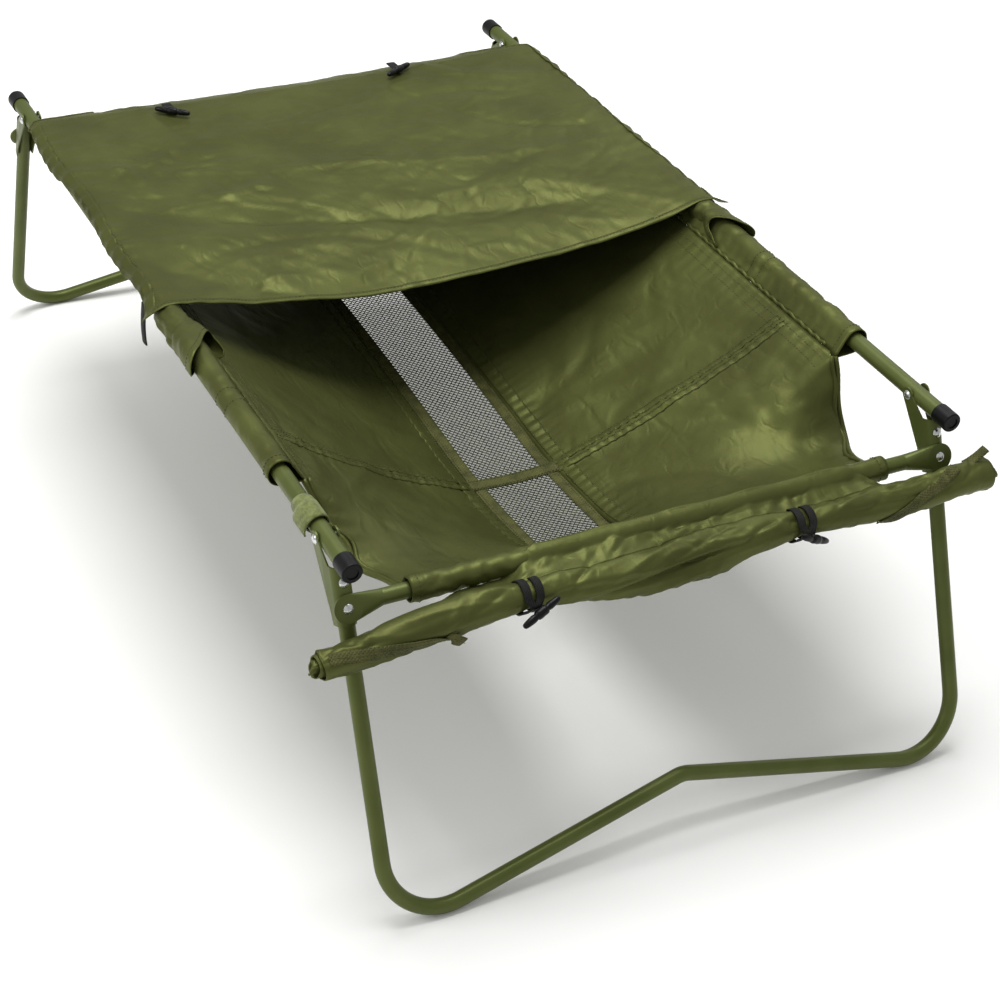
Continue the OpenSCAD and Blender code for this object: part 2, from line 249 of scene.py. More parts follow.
def mottle(tree, coords, size, dark, light, detail=3.0):
    """Patches of two close colours, about size mm across."""
    noise = noise_of(tree, coords, size, Detail=detail, Roughness=0.55)
    mix = add_node(tree, "ShaderNodeMix", {"A": dark, "B": linear(light)}, data_type="RGBA")
    spread = add_node(
        tree, "ShaderNodeMapRange", {"From Min": 0.35, "From Max": 0.65}, {"Value": noise.outputs["Fac"]}
    )
    tree.links.new(spread.outputs[0], mix.inputs["Factor"])
    return mix.outputs["Result"]


def bump(tree, height, depth, under=None, strength=1.0):
    """A bump of this depth in mm, on top of another normal."""
    links = {"Height": height}
    if under is not None:
        links["Normal"] = under
    return add_node(
        tree, "ShaderNodeBump", {"Distance": depth * MM, "Strength": strength}, links
    ).outputs["Normal"]


WAVE_BAND = 3.18  # bands of a wave texture in one unit of its scale


def times(tree, one, other):
    """The product of two values."""
    return add_node(tree, "ShaderNodeMath", None, {0: one, 1: other}, operation="MULTIPLY").outputs[0]


def plain_weave(tree, uv, pitch):
    """The height of a plain weave whose threads lie pitch mm apart along both ways of the cloth."""
    scale = {"Scale": 1 / (pitch * MM * WAVE_BAND)}
    across, along = (
        add_node(tree, "ShaderNodeTexWave", scale, {"Vector": uv}, bands_direction=way).outputs["Fac"]
        for way in ("X", "Y")
    )
    return times(tree, across, along)


def crease_lines(tree, coords, size):
    """Thin set lines about size mm apart, in patches, the way a coated cloth keeps its folds."""
    warp = noise_of(tree, coords, size * 1.6, Detail=2.0)
    moved = add_node(
        tree,
        "ShaderNodeVectorMath",
        {"Scale": size * 1.3 * MM},
        {0: warp.outputs["Color"]},
        operation="SCALE",
    )
    warped = add_node(tree, "ShaderNodeVectorMath", None, {0: coords, 1: moved.outputs[0]}, operation="ADD")
    slanted = add_node(
        tree,
        "ShaderNodeMapping",
        {"Rotation": (0, 0, math.radians(35)), "Scale": (1.0, 0.42, 1.0)},
        {"Vector": warped.outputs[0]},
    )
    cells = add_node(
        tree,
        "ShaderNodeTexVoronoi",
        {"Scale": 1 / (size * MM)},
        {"Vector": slanted.outputs[0]},
        feature="DISTANCE_TO_EDGE",
    )
    line = add_node(
        tree,
        "ShaderNodeMapRange",
        {"From Max": 0.16},
        {"Value": cells.outputs["Distance"]},
        interpolation_type="SMOOTHSTEP",
    )
    patch = add_node(
        tree, "ShaderNodeMapRange", {"From Min": 0.42, "From Max": 0.6}, {"Value": warp.outputs["Fac"]}
    )
    return times(tree, line.outputs[0], patch.outputs[0])


def coated_nylon():
    """Woven nylon with a thin coating: a broad silky sheen over small sharp creases."""
    material, tree, shader, coords, uv = new_material("coated nylon")
    colour = mottle(tree, coords, 90, settings().cloth_colour, "51552d")
    tree.links.new(colour, shader.inputs["Base Color"])
    normal = None
    for size, depth in ((58, 0.95), (21, 0.3)):
        normal = bump(tree, crease_lines(tree, coords, size), depth, normal, 0.7)
    # the weave is drawn at 1.1 mm, coarser than its 0.4 mm threads, so that it shows at all
    normal = bump(tree, plain_weave(tree, uv, 1.1), 0.05, normal, 0.6)
    tree.links.new(normal, shader.inputs["Normal"])
    set_shader(shader, Roughness=0.4, Metallic=0.4, Specular_IOR_Level=0.25)
    set_shader(shader, Specular_Tint=linear("b9bf8c"))
    return material


def woven_tape(name, dark, light, pitch):
    """Flat woven webbing: a matt ribbed tape, with a herringbone that catches the light."""
    material, tree, shader, coords, uv = new_material(name)
    tree.links.new(mottle(tree, coords, 14, linear(dark), light), shader.inputs["Base Color"])
    turned = add_node(tree, "ShaderNodeMapping", {"Rotation": (0, 0, math.radians(45))}, {"Vector": uv})
    normal = bump(tree, plain_weave(tree, turned.outputs[0], pitch), 0.7, None, 1.0)
    tree.links.new(normal, shader.inputs["Normal"])
    set_shader(shader, Roughness=0.72, Specular_IOR_Level=0.25)
    return material


def powder_coat():
    """Powder coat baked on steel tube: satin, with a faint orange peel in slightly paler patches."""
    material, tree, shader, coords, _ = new_material("satin powder coat")
    tree.links.new(mottle(tree, coords, 60, settings().paint_colour, "535b2f"), shader.inputs["Base Color"])
    peel = noise_of(tree, coords, 2.2, Detail=2.0, Roughness=0.4)
    tree.links.new(bump(tree, peel.outputs["Fac"], 0.06, None, 0.5), shader.inputs["Normal"])
    set_shader(shader, Roughness=0.36, Metallic=0.25, Specular_IOR_Level=0.4, Specular_Tint=linear("c8ccae"))
    return material


def zinc_plate():
    """Zinc plated steel, pressed into a dome: bright, with faint scratches."""
    material, tree, shader, coords, _ = new_material("zinc plated steel")
    tree.links.new(mottle(tree, coords, 3, linear("b9bcbb"), "d8dad8"), shader.inputs["Base Color"])
    scratch = noise_of(tree, coords, 1.1, Detail=4.0)
    rough = add_node(
        tree, "ShaderNodeMapRange", {"To Min": 0.18, "To Max": 0.36}, {"Value": scratch.outputs["Fac"]}
    )
    tree.links.new(rough.outputs[0], shader.inputs["Roughness"])
    set_shader(shader, Metallic=1.0)
    return material


def moulded_plastic(name, colour, rough):
    """Injection moulded nylon: a soft black with a fine spark-eroded grain."""
    material, tree, shader, coords, _ = new_material(name)
    tree.links.new(mottle(tree, coords, 8, linear(colour), "0c0d0c"), shader.inputs["Base Color"])
    grain = noise_of(tree, coords, 0.8, Detail=2.0)
    tree.links.new(bump(tree, grain.outputs["Fac"], 0.05, None, 0.6), shader.inputs["Normal"])
    set_shader(shader, Roughness=rough, Specular_IOR_Level=0.16)
    return material


def knitted_net():
    """Knitted polyester net, stiffened with resin: matt threads, darker than the cloth."""
    material, tree, shader, coords, _ = new_material("knitted polyester net")
    tree.links.new(mottle(tree, coords, 20, linear("20260f"), "343b1b"), shader.inputs["Base Color"])
    set_shader(shader, Roughness=0.6, Specular_IOR_Level=0.3)
    return material


def sewing_thread():
    """Bonded polyester sewing thread: smooth and a shade lighter than the cloth."""
    material, tree, shader, coords, _ = new_material("bonded sewing thread")
    tree.links.new(mottle(tree, coords, 10, linear("3a3d1b"), "565a30"), shader.inputs["Base Color"])
    set_shader(shader, Roughness=0.5, Specular_IOR_Level=0.3)
    return material


def brushed_loop():
    """Hook and loop tape: a pale brushed pile that scatters light."""
    material, tree, shader, coords, _ = new_material("brushed loop tape")
    tree.links.new(mottle(tree, coords, 5, linear("565d33"), "727a46", 5.0), shader.inputs["Base Color"])
    pile = noise_of(tree, coords, 0.9, Detail=3.0)
    tree.links.new(bump(tree, pile.outputs["Fac"], 0.5, None, 0.9), shader.inputs["Normal"])
    set_shader(shader, Roughness=0.9, Sheen_Weight=0.15, Sheen_Roughness=0.5, Specular_IOR_Level=0.2)
    return material


FINISHES = {
    "coated_cloth": coated_nylon,
    "frame_paint": powder_coat,
    "rivet_steel": zinc_plate,
    "end_cap_plastic": lambda: moulded_plastic("moulded black nylon", "060706", 0.42),
    "toggle_plastic": lambda: moulded_plastic("glossy black acetal", "0c0d0c", 0.3),
    "webbing": lambda: woven_tape("dark green webbing", "3c3e1b", "525329", 2.6),
    "black_elastic": lambda: woven_tape("black elastic tape", "0d0e0c", "181916", 1.4),
    "mesh_net": knitted_net,
    "thread": sewing_thread,
    "strap_cloth": brushed_loop,
}
finished = {}


def finish_for(slot):
    """The material of a finish, made once."""
    if slot not in finished:
        finished[slot] = FINISHES[slot]()
    return finished[slot]


# ---------------------------------------------------------------- mesh making


def ease(t):
    """A smooth step from 0 to 1 as t goes from 0 to 1."""
    t = np.clip(t, 0, 1)
    return t * t * (3 - 2 * t)


def full_turn(count):
    """Angles evenly round a circle."""
    return np.linspace(0, 2 * np.pi, count, endpoint=False)


def upward(count):
    """The upward direction, once for each of count points."""
    return np.tile([0.0, 0.0, 1.0], (count, 1))


def spanned(one, other, share):
    """A grid of points whose rows go straight from one line of points to another."""
    return one[:, None] * (1 - share)[None, :, None] + other[:, None] * share[None, :, None]


def unit_rows(vectors, least=1e-6):
    """Vectors made one long; a vector shorter than least stays short."""
    return vectors / np.maximum(np.linalg.norm(vectors, axis=-1, keepdims=True), least)


def through(points, count):
    """A smooth line of count points through given points, as a Catmull-Rom spline."""
    p = np.asarray(points, float)
    p = np.vstack([2 * p[0] - p[1], p, 2 * p[-1] - p[-2]])
    t = np.linspace(0, len(p) - 3 - 1e-9, count)
    i = t.astype(int)
    f = (t - i)[:, None]
    a, b, c, d = p[i], p[i + 1], p[i + 2], p[i + 3]
    return 0.5 * (2 * b + (c - a) * f + (2 * a - 5 * b + 4 * c - d) * f**2 + (3 * b - a - 3 * c + d) * f**3)


def soft_folds(u, v, seed, count, reach, length, width, height, heading, spread=0.5):
    """Soft folds at seeded random places of a flat cloth: u and v are its own coordinates in mm.

    reach is ((u low, u high), (v low, v high)), and heading is the way the folds run, in degrees from u.
    """
    rng = np.random.default_rng(seed)
    total = np.zeros_like(u, float)
    for _ in range(count):
        cu = rng.uniform(*reach[0])
        cv = rng.uniform(*reach[1])
        angle = math.radians(heading) + rng.normal(0, spread)
        far = length * rng.uniform(0.5, 1.5)
        wide = width * rng.uniform(0.6, 1.5)
        tall = height * rng.uniform(0.35, 1.0) * rng.choice([-1, 1])
        curl = rng.normal(0, 0.5) / far
        a = (u - cu) * math.cos(angle) + (v - cv) * math.sin(angle)
        b = -(u - cu) * math.sin(angle) + (v - cv) * math.cos(angle) + curl * a * a
        crest = np.exp(-np.sqrt((b / wide) ** 2 + 0.09) + 0.3) - 0.45 * np.exp(-((b / (2.2 * wide)) ** 2))
        total += tall * np.exp(-((a / far) ** 2)) * crest
    return total * settings().folds


def pucker(distance, along, pitch, height, fade, seed=0):
    """The small gathers that a row of stitches pulls into cloth, fading away from it."""
    wander = np.sin(along / 41 + seed) + 0.6 * np.sin(along / 17.3 + 2.1 * seed)
    return height * np.exp(-np.abs(distance) / fade) * np.sin(2 * np.pi * along / pitch + 1.4 * wander)


def normals_of(grid, wrap=False):
    """Unit normals of a grid of points, turned the way columns cross rows."""
    if wrap:
        du = np.roll(grid, -1, 1) - np.roll(grid, 1, 1)
    else:
        du = np.gradient(grid, axis=1)
    n = np.cross(du, np.gradient(grid, axis=0))
    return n / np.maximum(np.linalg.norm(n, axis=2, keepdims=True), 1e-9)


def lengths(grid, wrap=False):
    """Distances across and along a grid of points from its first row and column, in mm."""
    across = np.linalg.norm(np.diff(grid, axis=1), axis=2)
    along = np.linalg.norm(np.diff(grid, axis=0), axis=2)
    u = np.concatenate([[0], np.cumsum(across.mean(0))])
    v = np.concatenate([[0], np.cumsum(along.mean(1))])
    if wrap:
        u = np.append(u, u[-1] + np.linalg.norm(grid[:, 0] - grid[:, -1], axis=1).mean())
    return u, v


def object_of(name, points, faces, uvs, slot):
    """A mesh object with its finish, from points in millimetres."""
    mesh = bpy.data.meshes.new(name)
    mesh.from_pydata((np.asarray(points) * MM).tolist(), [], faces)
    if uvs is not None:
        layer = mesh.uv_layers.new(name="cloth")
        layer.data.foreach_set("uv", np.asarray(uvs, np.float32).ravel())
    mesh.materials.append(finish_for(slot))
    mesh.polygons.foreach_set("use_smooth", [True] * len(mesh.polygons))
    mesh.update()
    piece = bpy.data.objects.new(name, mesh)
    bpy.context.scene.collection.objects.link(piece)
    piece["cot_slot"] = slot
    return piece


def shell(name, grid, thick, slot, wrap=False):
    """A closed sheet of cloth round a grid of middle points; wrap joins its last column to its first."""
    rows, cols = grid.shape[:2]
    side = normals_of(grid, wrap) * thick / 2
    points = np.concatenate([(grid + side).reshape(-1, 3), (grid - side).reshape(-1, 3)])
    under = rows * cols
    u, v = lengths(grid, wrap)
    faces, uvs = [], []

    def face(*corners):
        """One face, from (row, column, layer) corners."""
        faces.append([r * cols + c % cols + layer * under for r, c, layer in corners])
        uvs.extend((u[c] * MM, v[r] * MM) for r, c, _ in corners)

    last = cols if wrap else cols - 1
    for r in range(rows - 1):
        for c in range(last):
            face((r, c, 0), (r, c + 1, 0), (r + 1, c + 1, 0), (r + 1, c, 0))
            face((r, c, 1), (r + 1, c, 1), (r + 1, c + 1, 1), (r, c + 1, 1))
    for c in range(last):
        face((0, c, 1), (0, c + 1, 1), (0, c + 1, 0), (0, c, 0))
        face((rows - 1, c, 0), (rows - 1, c + 1, 0), (rows - 1, c + 1, 1), (rows - 1, c, 1))
    if not wrap:
        for r in range(rows - 1):
            face((r, 0, 0), (r + 1, 0, 0), (r + 1, 0, 1), (r, 0, 1))
            face((r, cols - 1, 1), (r + 1, cols - 1, 1), (r + 1, cols - 1, 0), (r, cols - 1, 0))
    return object_of(name, points, faces, uvs, slot)


class Surface:
    """A grid of cloth points that other pieces are laid on."""

    def __init__(self, grid, wrap=False):
        self.grid = grid
        self.normal = normals_of(grid, wrap)

    def at(self, row, col, lift=0.0):
        """The points at fractional rows and columns, lifted by so many mm."""
        rows, cols = self.grid.shape[:2]
        row = np.clip(np.asarray(row, float), 0, rows - 1.001)
        col = np.clip(np.asarray(col, float), 0, cols - 1.001)
        i, j = row.astype(int), col.astype(int)
        f, g = (row - i)[..., None], (col - j)[..., None]

        def mixed(a):
            one, other = (a[i, k] * (1 - f) + a[i + 1, k] * f for k in (j, j + 1))
            return one * (1 - g) + other * g

        return mixed(self.grid) + mixed(self.normal) * lift

    def ring(self, row, count, last_col, lift):
        """Points all the way round a wrapped surface, at one row."""
        return self.at(np.full(count, row), np.linspace(0, last_col, count), lift)


def band(name, middle, width, normal, thick, slot, columns=5, crown=0.0):
    """A strap along a line of points, lying square to the given normals, a little raised in its middle."""
    middle = np.asarray(middle, float)
    along = unit_rows(np.gradient(middle, axis=0))
    across = unit_rows(np.cross(along, normal))
    share = np.linspace(-1, 1, columns)
    grid = middle[:, None] + across[:, None] * share[None, :, None] * width / 2
    grid = grid + np.asarray(normal)[:, None] * (crown * (1 - share**2))[None, :, None]
    return shell(name, grid, thick, slot), grid


CORD_UV = (0.002, 0.004)  # the step of a cord's own coordinates from side to side and along it, in metres


def tube_on(name, line, radius, slot, sides=8):
    """A closed round cord of cloth, such as a bound edge, along a line of points."""
    line = np.asarray(line, float)
    along = unit_rows(np.gradient(line, axis=0))
    side = unit_rows(np.cross(along, upward(len(line))))
    up = np.cross(side, along)
    turn = full_turn(sides)
    ring = side[:, None] * np.cos(turn)[None, :, None] + up[:, None] * np.sin(turn)[None, :, None]
    points = (line[:, None] + ring * radius).reshape(-1, 3)
    faces, uvs = [], []
    last = len(line) - 1
    for r in range(last):
        for c in range(sides):
            d = (c + 1) % sides
            faces.append([(r + 1) * sides + c, (r + 1) * sides + d, r * sides + d, r * sides + c])
            corners = ((c, r), (c + 1, r), (c + 1, r + 1), (c, r + 1))
            uvs += [(u * CORD_UV[0], v * CORD_UV[1]) for u, v in corners]
    faces += [list(range(sides)), [last * sides + c for c in reversed(range(sides))]]
    uvs += [(0, 0)] * (2 * sides)
    return object_of(name, points, faces, uvs, slot)


def joined(name, pieces):
    """Several objects with one finish, as one object."""
    bpy.ops.object.select_all(action="DESELECT")
    for piece in pieces:
        piece.select_set(True)
    bpy.context.view_layer.objects.active = pieces[0]
    if len(pieces) > 1:
        bpy.ops.object.join()
    pieces[0].name = name
    return pieces[0]


def place(piece, body, *nodes, joint=None, anchor=0.0, keep=1.0):
    """Puts a piece on a body and in place of frame nodes; with a joint it gets its own copy of its mesh."""
    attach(piece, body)
    if nodes:
        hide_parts(*nodes)
    if joint:
        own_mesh(piece)
    return piece


def cloth_piece(name, grid, held, rests_on, body, *nodes, wrap=False, **fold):
    """A sheet of the coated nylon, put in its place."""
    piece = shell(name, grid, setting_mm("cloth"), "coated_cloth", wrap)
    return place(piece, body, *nodes, **fold)


# ---------------------------------------------------------------- geometry nodes


def group_input(tree, name, kind, value=None):
    """A named input of a node tree."""
    socket = tree.interface.new_socket(name, in_out="INPUT", socket_type=kind)
    if value is not None:
        socket.default_value = value


def painted_output(tree, geometry, finish, name):
    """Ends a node tree: makes its instances real, gives them their finish, and puts them out."""
    real = add_node(tree, "GeometryNodeRealizeInstances", None, {"Geometry": geometry})
    links = {"Geometry": real.outputs[0], "Material": finish}
    painted = add_node(tree, "GeometryNodeSetMaterial", None, links)
    tree.interface.new_socket(name, in_out="OUTPUT", socket_type="NodeSocketGeometry")
    add_node(tree, "NodeGroupOutput", None, {name: painted.outputs[0]})


def stitch_tree():
    """Geometry nodes that set one small stitch at each step of every line."""
    tree = bpy.data.node_groups.new("rows of stitches", "GeometryNodeTree")
    group_input(tree, "Lines", "NodeSocketGeometry")
    group_input(tree, "Pitch", "NodeSocketFloat", 0.0042)
    group_input(tree, "Length", "NodeSocketFloat", 0.0032)
    group_input(tree, "Width", "NodeSocketFloat", 0.0009)
    group_input(tree, "Finish", "NodeSocketMaterial")
    source = add_node(tree, "NodeGroupInput").outputs
    line = add_node(tree, "GeometryNodeMeshToCurve", None, {"Mesh": source["Lines"]})
    even = {"Curve": line.outputs[0], "Length": source["Pitch"]}
    steps = add_node(tree, "GeometryNodeResampleCurve", None, even, mode="LENGTH")
    tangent = add_node(tree, "GeometryNodeInputTangent")
    turn = add_node(
        tree, "FunctionNodeAlignRotationToVector", None, {"Vector": tangent.outputs[0]}, axis="X"
    )
    sizes = {"X": source["Length"], "Y": source["Width"], "Z": source["Width"]}
    size = add_node(tree, "ShaderNodeCombineXYZ", None, sizes)
    stitch = add_node(tree, "GeometryNodeMeshIcoSphere", {"Radius": 0.5, "Subdivisions": 1})
    rows = add_node(
        tree,
        "GeometryNodeInstanceOnPoints",
        None,
        {
            "Points": steps.outputs[0],
            "Instance": stitch.outputs[0],
            "Rotation": turn.outputs[0],
            "Scale": size.outputs[0],
        },
    )
    painted_output(tree, rows.outputs[0], source["Finish"], "Stitches")
    return tree


def thread_tree():
    """Geometry nodes that lay a thread of even thickness along every edge of a net."""
    tree = bpy.data.node_groups.new("threads of a net", "GeometryNodeTree")
    group_input(tree, "Edges", "NodeSocketGeometry")
    group_input(tree, "Thickness", "NodeSocketFloat", 0.001)
    group_input(tree, "Finish", "NodeSocketMaterial")
    source = add_node(tree, "NodeGroupInput").outputs
    line = add_node(tree, "GeometryNodeMeshToCurve", None, {"Mesh": source["Edges"]})
    half = add_node(tree, "ShaderNodeMath", {1: 0.5}, {0: source["Thickness"]}, operation="MULTIPLY")
    ring = add_node(tree, "GeometryNodeCurvePrimitiveCircle", {"Resolution": 4}, {"Radius": half.outputs[0]})
    curves = {"Curve": line.outputs[0], "Profile Curve": ring.outputs[0]}
    thread = add_node(tree, "GeometryNodeCurveToMesh", {"Fill Caps": True}, curves)
    painted_output(tree, thread.outputs[0], source["Finish"], "Net")
    return tree


def line_object(name, lines):
    """An object of loose edges along each line of points."""
    points, edges = [], []
    for line in lines:
        start = len(points)
        points += (np.asarray(line) * MM).tolist()
        edges += [(start + k, start + k + 1) for k in range(len(line) - 1)]
    mesh = bpy.data.meshes.new(name)
    mesh.from_pydata(points, edges, [])
    piece = bpy.data.objects.new(name, mesh)
    bpy.context.scene.collection.objects.link(piece)
    return piece


def baked(source, tree, values, name, slot):
    """The object's geometry after the node tree, as a plain mesh object."""
    modifier = source.modifiers.new("build", "NODES")
    modifier.node_group = tree
    for item in tree.interface.items_tree:
        if item.item_type == "SOCKET" and item.in_out == "INPUT" and item.name in values:
            modifier[item.identifier] = values[item.name]
    bpy.context.view_layer.update()
    depsgraph = bpy.context.evaluated_depsgraph_get()
    mesh = bpy.data.meshes.new_from_object(source.evaluated_get(depsgraph), depsgraph=depsgraph)
    mesh.name = name
    if not mesh.polygons:
        raise RuntimeError(f"{name}: the node tree made no faces")
    bpy.data.objects.remove(source)
    piece = bpy.data.objects.new(name, mesh)
    bpy.context.scene.collection.objects.link(piece)
    piece["cot_slot"] = slot
    return piece


def stitches(name, lines, width=0.95):
    """Rows of stitches along lines of points."""
    tree = bpy.data.node_groups.get("rows of stitches") or stitch_tree()
    pitch = settings().stitch_pitch
    values = {"Pitch": pitch, "Length": 0.74 * pitch, "Width": width * MM, "Finish": finish_for("thread")}
    return baked(line_object(name + "_lines", lines), tree, values, name, "thread")


# ---------------------------------------------------------------- tub shape

SEAM_REACH = 27.0  # from the rail's centre line to the seam that closes its sleeve
SLEEVE_R = 12.4
PANEL_FALL = math.radians(31.3)
SEAM = np.array([RAIL_X - SEAM_REACH * math.cos(PANEL_FALL), RAIL_Z - SEAM_REACH * math.sin(PANEL_FALL)])
TUB_END_Y = BAR_Y - 8  # where the tub's cloth meets the crossbars
MID_ROWS = 141
END_ROWS = 30
PANEL_COLS = 56
PANEL_FOOT_Z = 178  # mean height of the panels' lower edges
PANEL_WIDTH = math.hypot(SEAM[0] - STRIP_X, SEAM[1] - PANEL_FOOT_Z)
SCALLOPS = {
    1: [(0, -6, 0), (1, -20, -36), (-1, -37, -74), (-14, -80, -77), (-30, -122, -58)],
    -1: [(0, -6, 0), (-6, -26, -22), (-15, -48, -40), (-24, -76, -54), (-33, -112, -54)],
}  # the open edge of each near corner, from the end of the rail sleeve to the crossbar
WEBBING_Y = 217.0
SEAM_SLANT = 50  # how much further out the seams across the panels end at the rails
LOWEST_Y = -190  # where the floor is lowest
LOWEST_Z = 171


def floor_height(y):
    """Height of the mesh strip along the tub: lowest under the near webbing, and lifted under the cover."""
    y = np.asarray(y, float)
    past = y - LOWEST_Y
    near = LOWEST_Z + 0.00036 * past**2
    covered = LOWEST_Z + 25 * (1 - np.exp(-((np.clip(past, 0, None) / 220) ** 1.3)))
    level = np.where(past < 0, near, covered)
    rise = np.clip((np.abs(y) - TUB_HALF) / (TUB_END_Y - TUB_HALF), 0, 1)
    return level + (BAR_Z - 4 - level) * (0.16 * rise + 0.84 * rise**1.45) * (rise > 0)


def tub_edges(side=1):
    """Rows along the tub, from crossbar to crossbar: (y of the strip, strip's edge, outer edge)."""
    start = -(TUB_HALF - 3)
    y_mid = np.linspace(start, -start, MID_ROWS)
    scallop = [(SEAM[0] + x, start + y, SEAM[1] + z) for x, y, z in SCALLOPS[side]]
    scallop.append((BAR_HALF - 2, -BAR_Y + 9, BAR_Z - 5))
    outer_end = through(scallop, END_ROWS)[::-1]
    ripple = np.sin(np.linspace(0, 17, END_ROWS) + side) * np.sin(np.linspace(0, np.pi, END_ROWS))
    outer_end = outer_end + np.outer(ripple, (-3.2, 0, 1.8))
    t = np.linspace(1, 0, END_ROWS, endpoint=False)
    y_end = start + (-TUB_END_Y - start) * t
    y = np.concatenate([y_end, y_mid, -y_end[::-1]])
    strip = np.stack([np.full_like(y, STRIP_X), y, floor_height(y)], 1)
    outer_mid = np.stack([np.full_like(y_mid, SEAM[0]), y_mid, np.full_like(y_mid, SEAM[1])], 1)
    outer_far = outer_end[::-1] * [1, -1, 1]
    return y, strip, np.concatenate([outer_end, outer_mid, outer_far])


def seam_y(share):
    """Where the slanting seam across a panel lies, at a share of the way from the mesh to the rail."""
    return WEBBING_Y + SEAM_SLANT * share


def side_panel_grid(side):
    """Middle points of a side panel: rows run along the tub and columns from the mesh to the rail."""
    _, strip, outer = tub_edges(side)
    share = np.linspace(0, 1, PANEL_COLS)
    grid = spanned(strip, outer, share)
    # the rows relax towards their neighbours, so that the panel runs smoothly into its ends
    slack = 0.5 * (1 - share**6)[None, :, None]
    for _ in range(70):
        grid[1:-1] += slack * ((grid[:-2] + grid[2:]) / 2 - grid[1:-1])
    normal = normals_of(grid)
    normal *= np.sign(normal[..., 2:3])
    y = grid[..., 1]
    u = np.tile(share * PANEL_WIDTH, (len(strip), 1))
    ends = 1 - ease((np.abs(y) - TUB_HALF + 40) / 110)
    belly = -setting_mm("tub_sag") * np.sin(np.pi * share)[None] * (0.45 + 0.55 * ends)
    seed = 11 if side > 0 else 29
    reach = ((0, PANEL_WIDTH), (-BAR_Y, BAR_Y))
    lift = belly + soft_folds(u, y, seed, 26, reach, 95, 22, 4.2, 12, 0.6)
    lift += soft_folds(u, y, seed + 1, 60, reach, 42, 9, 1.9, 70, 0.9)
    # long folds that hang from the rail near the corners, and run to the crossbar
    for k, sign in enumerate((-1, 1)):
        corner = ((60, PANEL_WIDTH), (sign * 300 - 70, sign * 300 + 70))
        lift += soft_folds(u, y, seed + 3 + k, 16, corner, 80, 12, 3.6, sign * 62, 0.35)
    # the stitched seams pull small gathers into the cloth
    lift += pucker(u - 12, y, 13, 1.5, 14, seed)
    lift += pucker(PANEL_WIDTH - u, y, 15, 1.4, 20, seed + 2)
    for sign in (-1, 1):
        away = y * sign - seam_y(u / PANEL_WIDTH)
        lift += pucker(away, u, 12, 1.3, 14, seed + 5)
        lift += 1.6 * np.exp(-((away / 7) ** 2))
    hold = ease(u / 16) * ease((PANEL_WIDTH - u) / 12)
    hold *= ease((TUB_END_Y - np.abs(y)) / 14)
    grid = grid + normal * (lift * hold)[..., None]
    return grid if side > 0 else (grid * [-1, 1, 1])[:, ::-1]


PANELS = {}  # the finished side panels, for what is sewn on them


def panel_place(side, share, y, lift=0.0):
    """Points on a side panel at shares across and places along it, lifted by so many mm."""
    surface = PANELS[side]
    rows_y = tub_edges()[0]
    row = np.interp(y, rows_y, np.arange(len(rows_y)))
    col = np.asarray(share) * (PANEL_COLS - 1)
    if side < 0:
        col = PANEL_COLS - 1 - col
    return surface.at(row, col, lift)


def normals_under(points_at):
    """Unit normals under the points that a function gives for a lift."""
    return unit_rows(points_at(1.0) - points_at(0.0))


def build_side_panels():
    """Hangs the tub's two side panels; the right one stands for the tub's ends too."""
    for side, word in SIDES:
        grid = side_panel_grid(side)
        PANELS[side] = Surface(grid)
        nodes = ["side_panel_" + word] + (["tub_end_near", "tub_end_far"] if side > 0 else [])
        cloth_piece(f"side_panel_{word}_cloth", grid, "hung", ["rail_" + word], "root", *nodes, **TUB_FOLD)


def build_panel_seams():
    """The double seams across the panels, the puckered hems beside the mesh, and the bound corners."""
    rows = []
    for side, word in SIDES:
        seams = []
        for end in (-1, 1):
            share = np.linspace(0.005, 0.97, 90)
            for shift in (-6.5, 6.5):

                def line(lift, share=share, end=end, shift=shift, side=side):
                    return panel_place(side, share, end * (seam_y(share) + shift), lift)

                up = normals_under(line)
                seams.append(band("fell", line(0.35), 9.0, up, 0.9, "coated_cloth", 5, 0.55)[0])
            for shift in (-9.8, -3.6, 3.6, 9.8):
                rows.append(panel_place(side, share, end * (seam_y(share) + shift), 1.15))
        y = np.linspace(-(BAR_Y - 20), BAR_Y - 20, 260)

        def hem(lift, y=y, side=side):
            return panel_place(side, np.full_like(y, 0.042), y, lift)

        seams.append(band("hem", hem(0.4), 16, normals_under(hem), 0.9, "coated_cloth", 7, 0.5)[0])
        for share in (0.02, 0.064):
            rows.append(panel_place(side, np.full_like(y, share), y, 1.1))
        y = np.linspace(-TUB_HALF + 8, TUB_HALF - 8, 220)
        for share in (0.966, 0.93):
            rows.append(panel_place(side, np.full_like(y, share), y, 0.8))
        piece = joined(f"panel_seams_{word}", seams)
        place(piece, "root", **TUB_FOLD)
        edges = []
        for end in (-1, 1):
            outer = tub_edges(side)[2][:END_ROWS] * [side, -end, 1]
            edges.append(tube_on("edge", outer, 3.0, "coated_cloth"))
            # a second, wavy cord inside the bound edge is the cloth that its binding gathers
            wobble = np.sin(np.linspace(0, 24, END_ROWS) + side)
            gathers = outer + [-4.2 * side, 0, 1.2] + np.outer(wobble, (1.5 * side, 0, 1.0))
            edges.append(tube_on("edge", gathers, 2.4, "coated_cloth"))
        place(joined(f"corner_binding_{word}", edges), "root", **TUB_FOLD)
    place(stitches("panel_stitches", rows), "root", **TUB_FOLD)


# ---------------------------------------------------------------- mesh floor


def floor_points(x, y):
    """Points of the mesh strip, which sags a little between its two tapes."""
    x, y = np.broadcast_arrays(np.asarray(x, float), np.asarray(y, float))
    z = floor_height(y) - 3.0 * (1 - (x / STRIP_X) ** 2)
    return np.stack([x, y, z], -1)


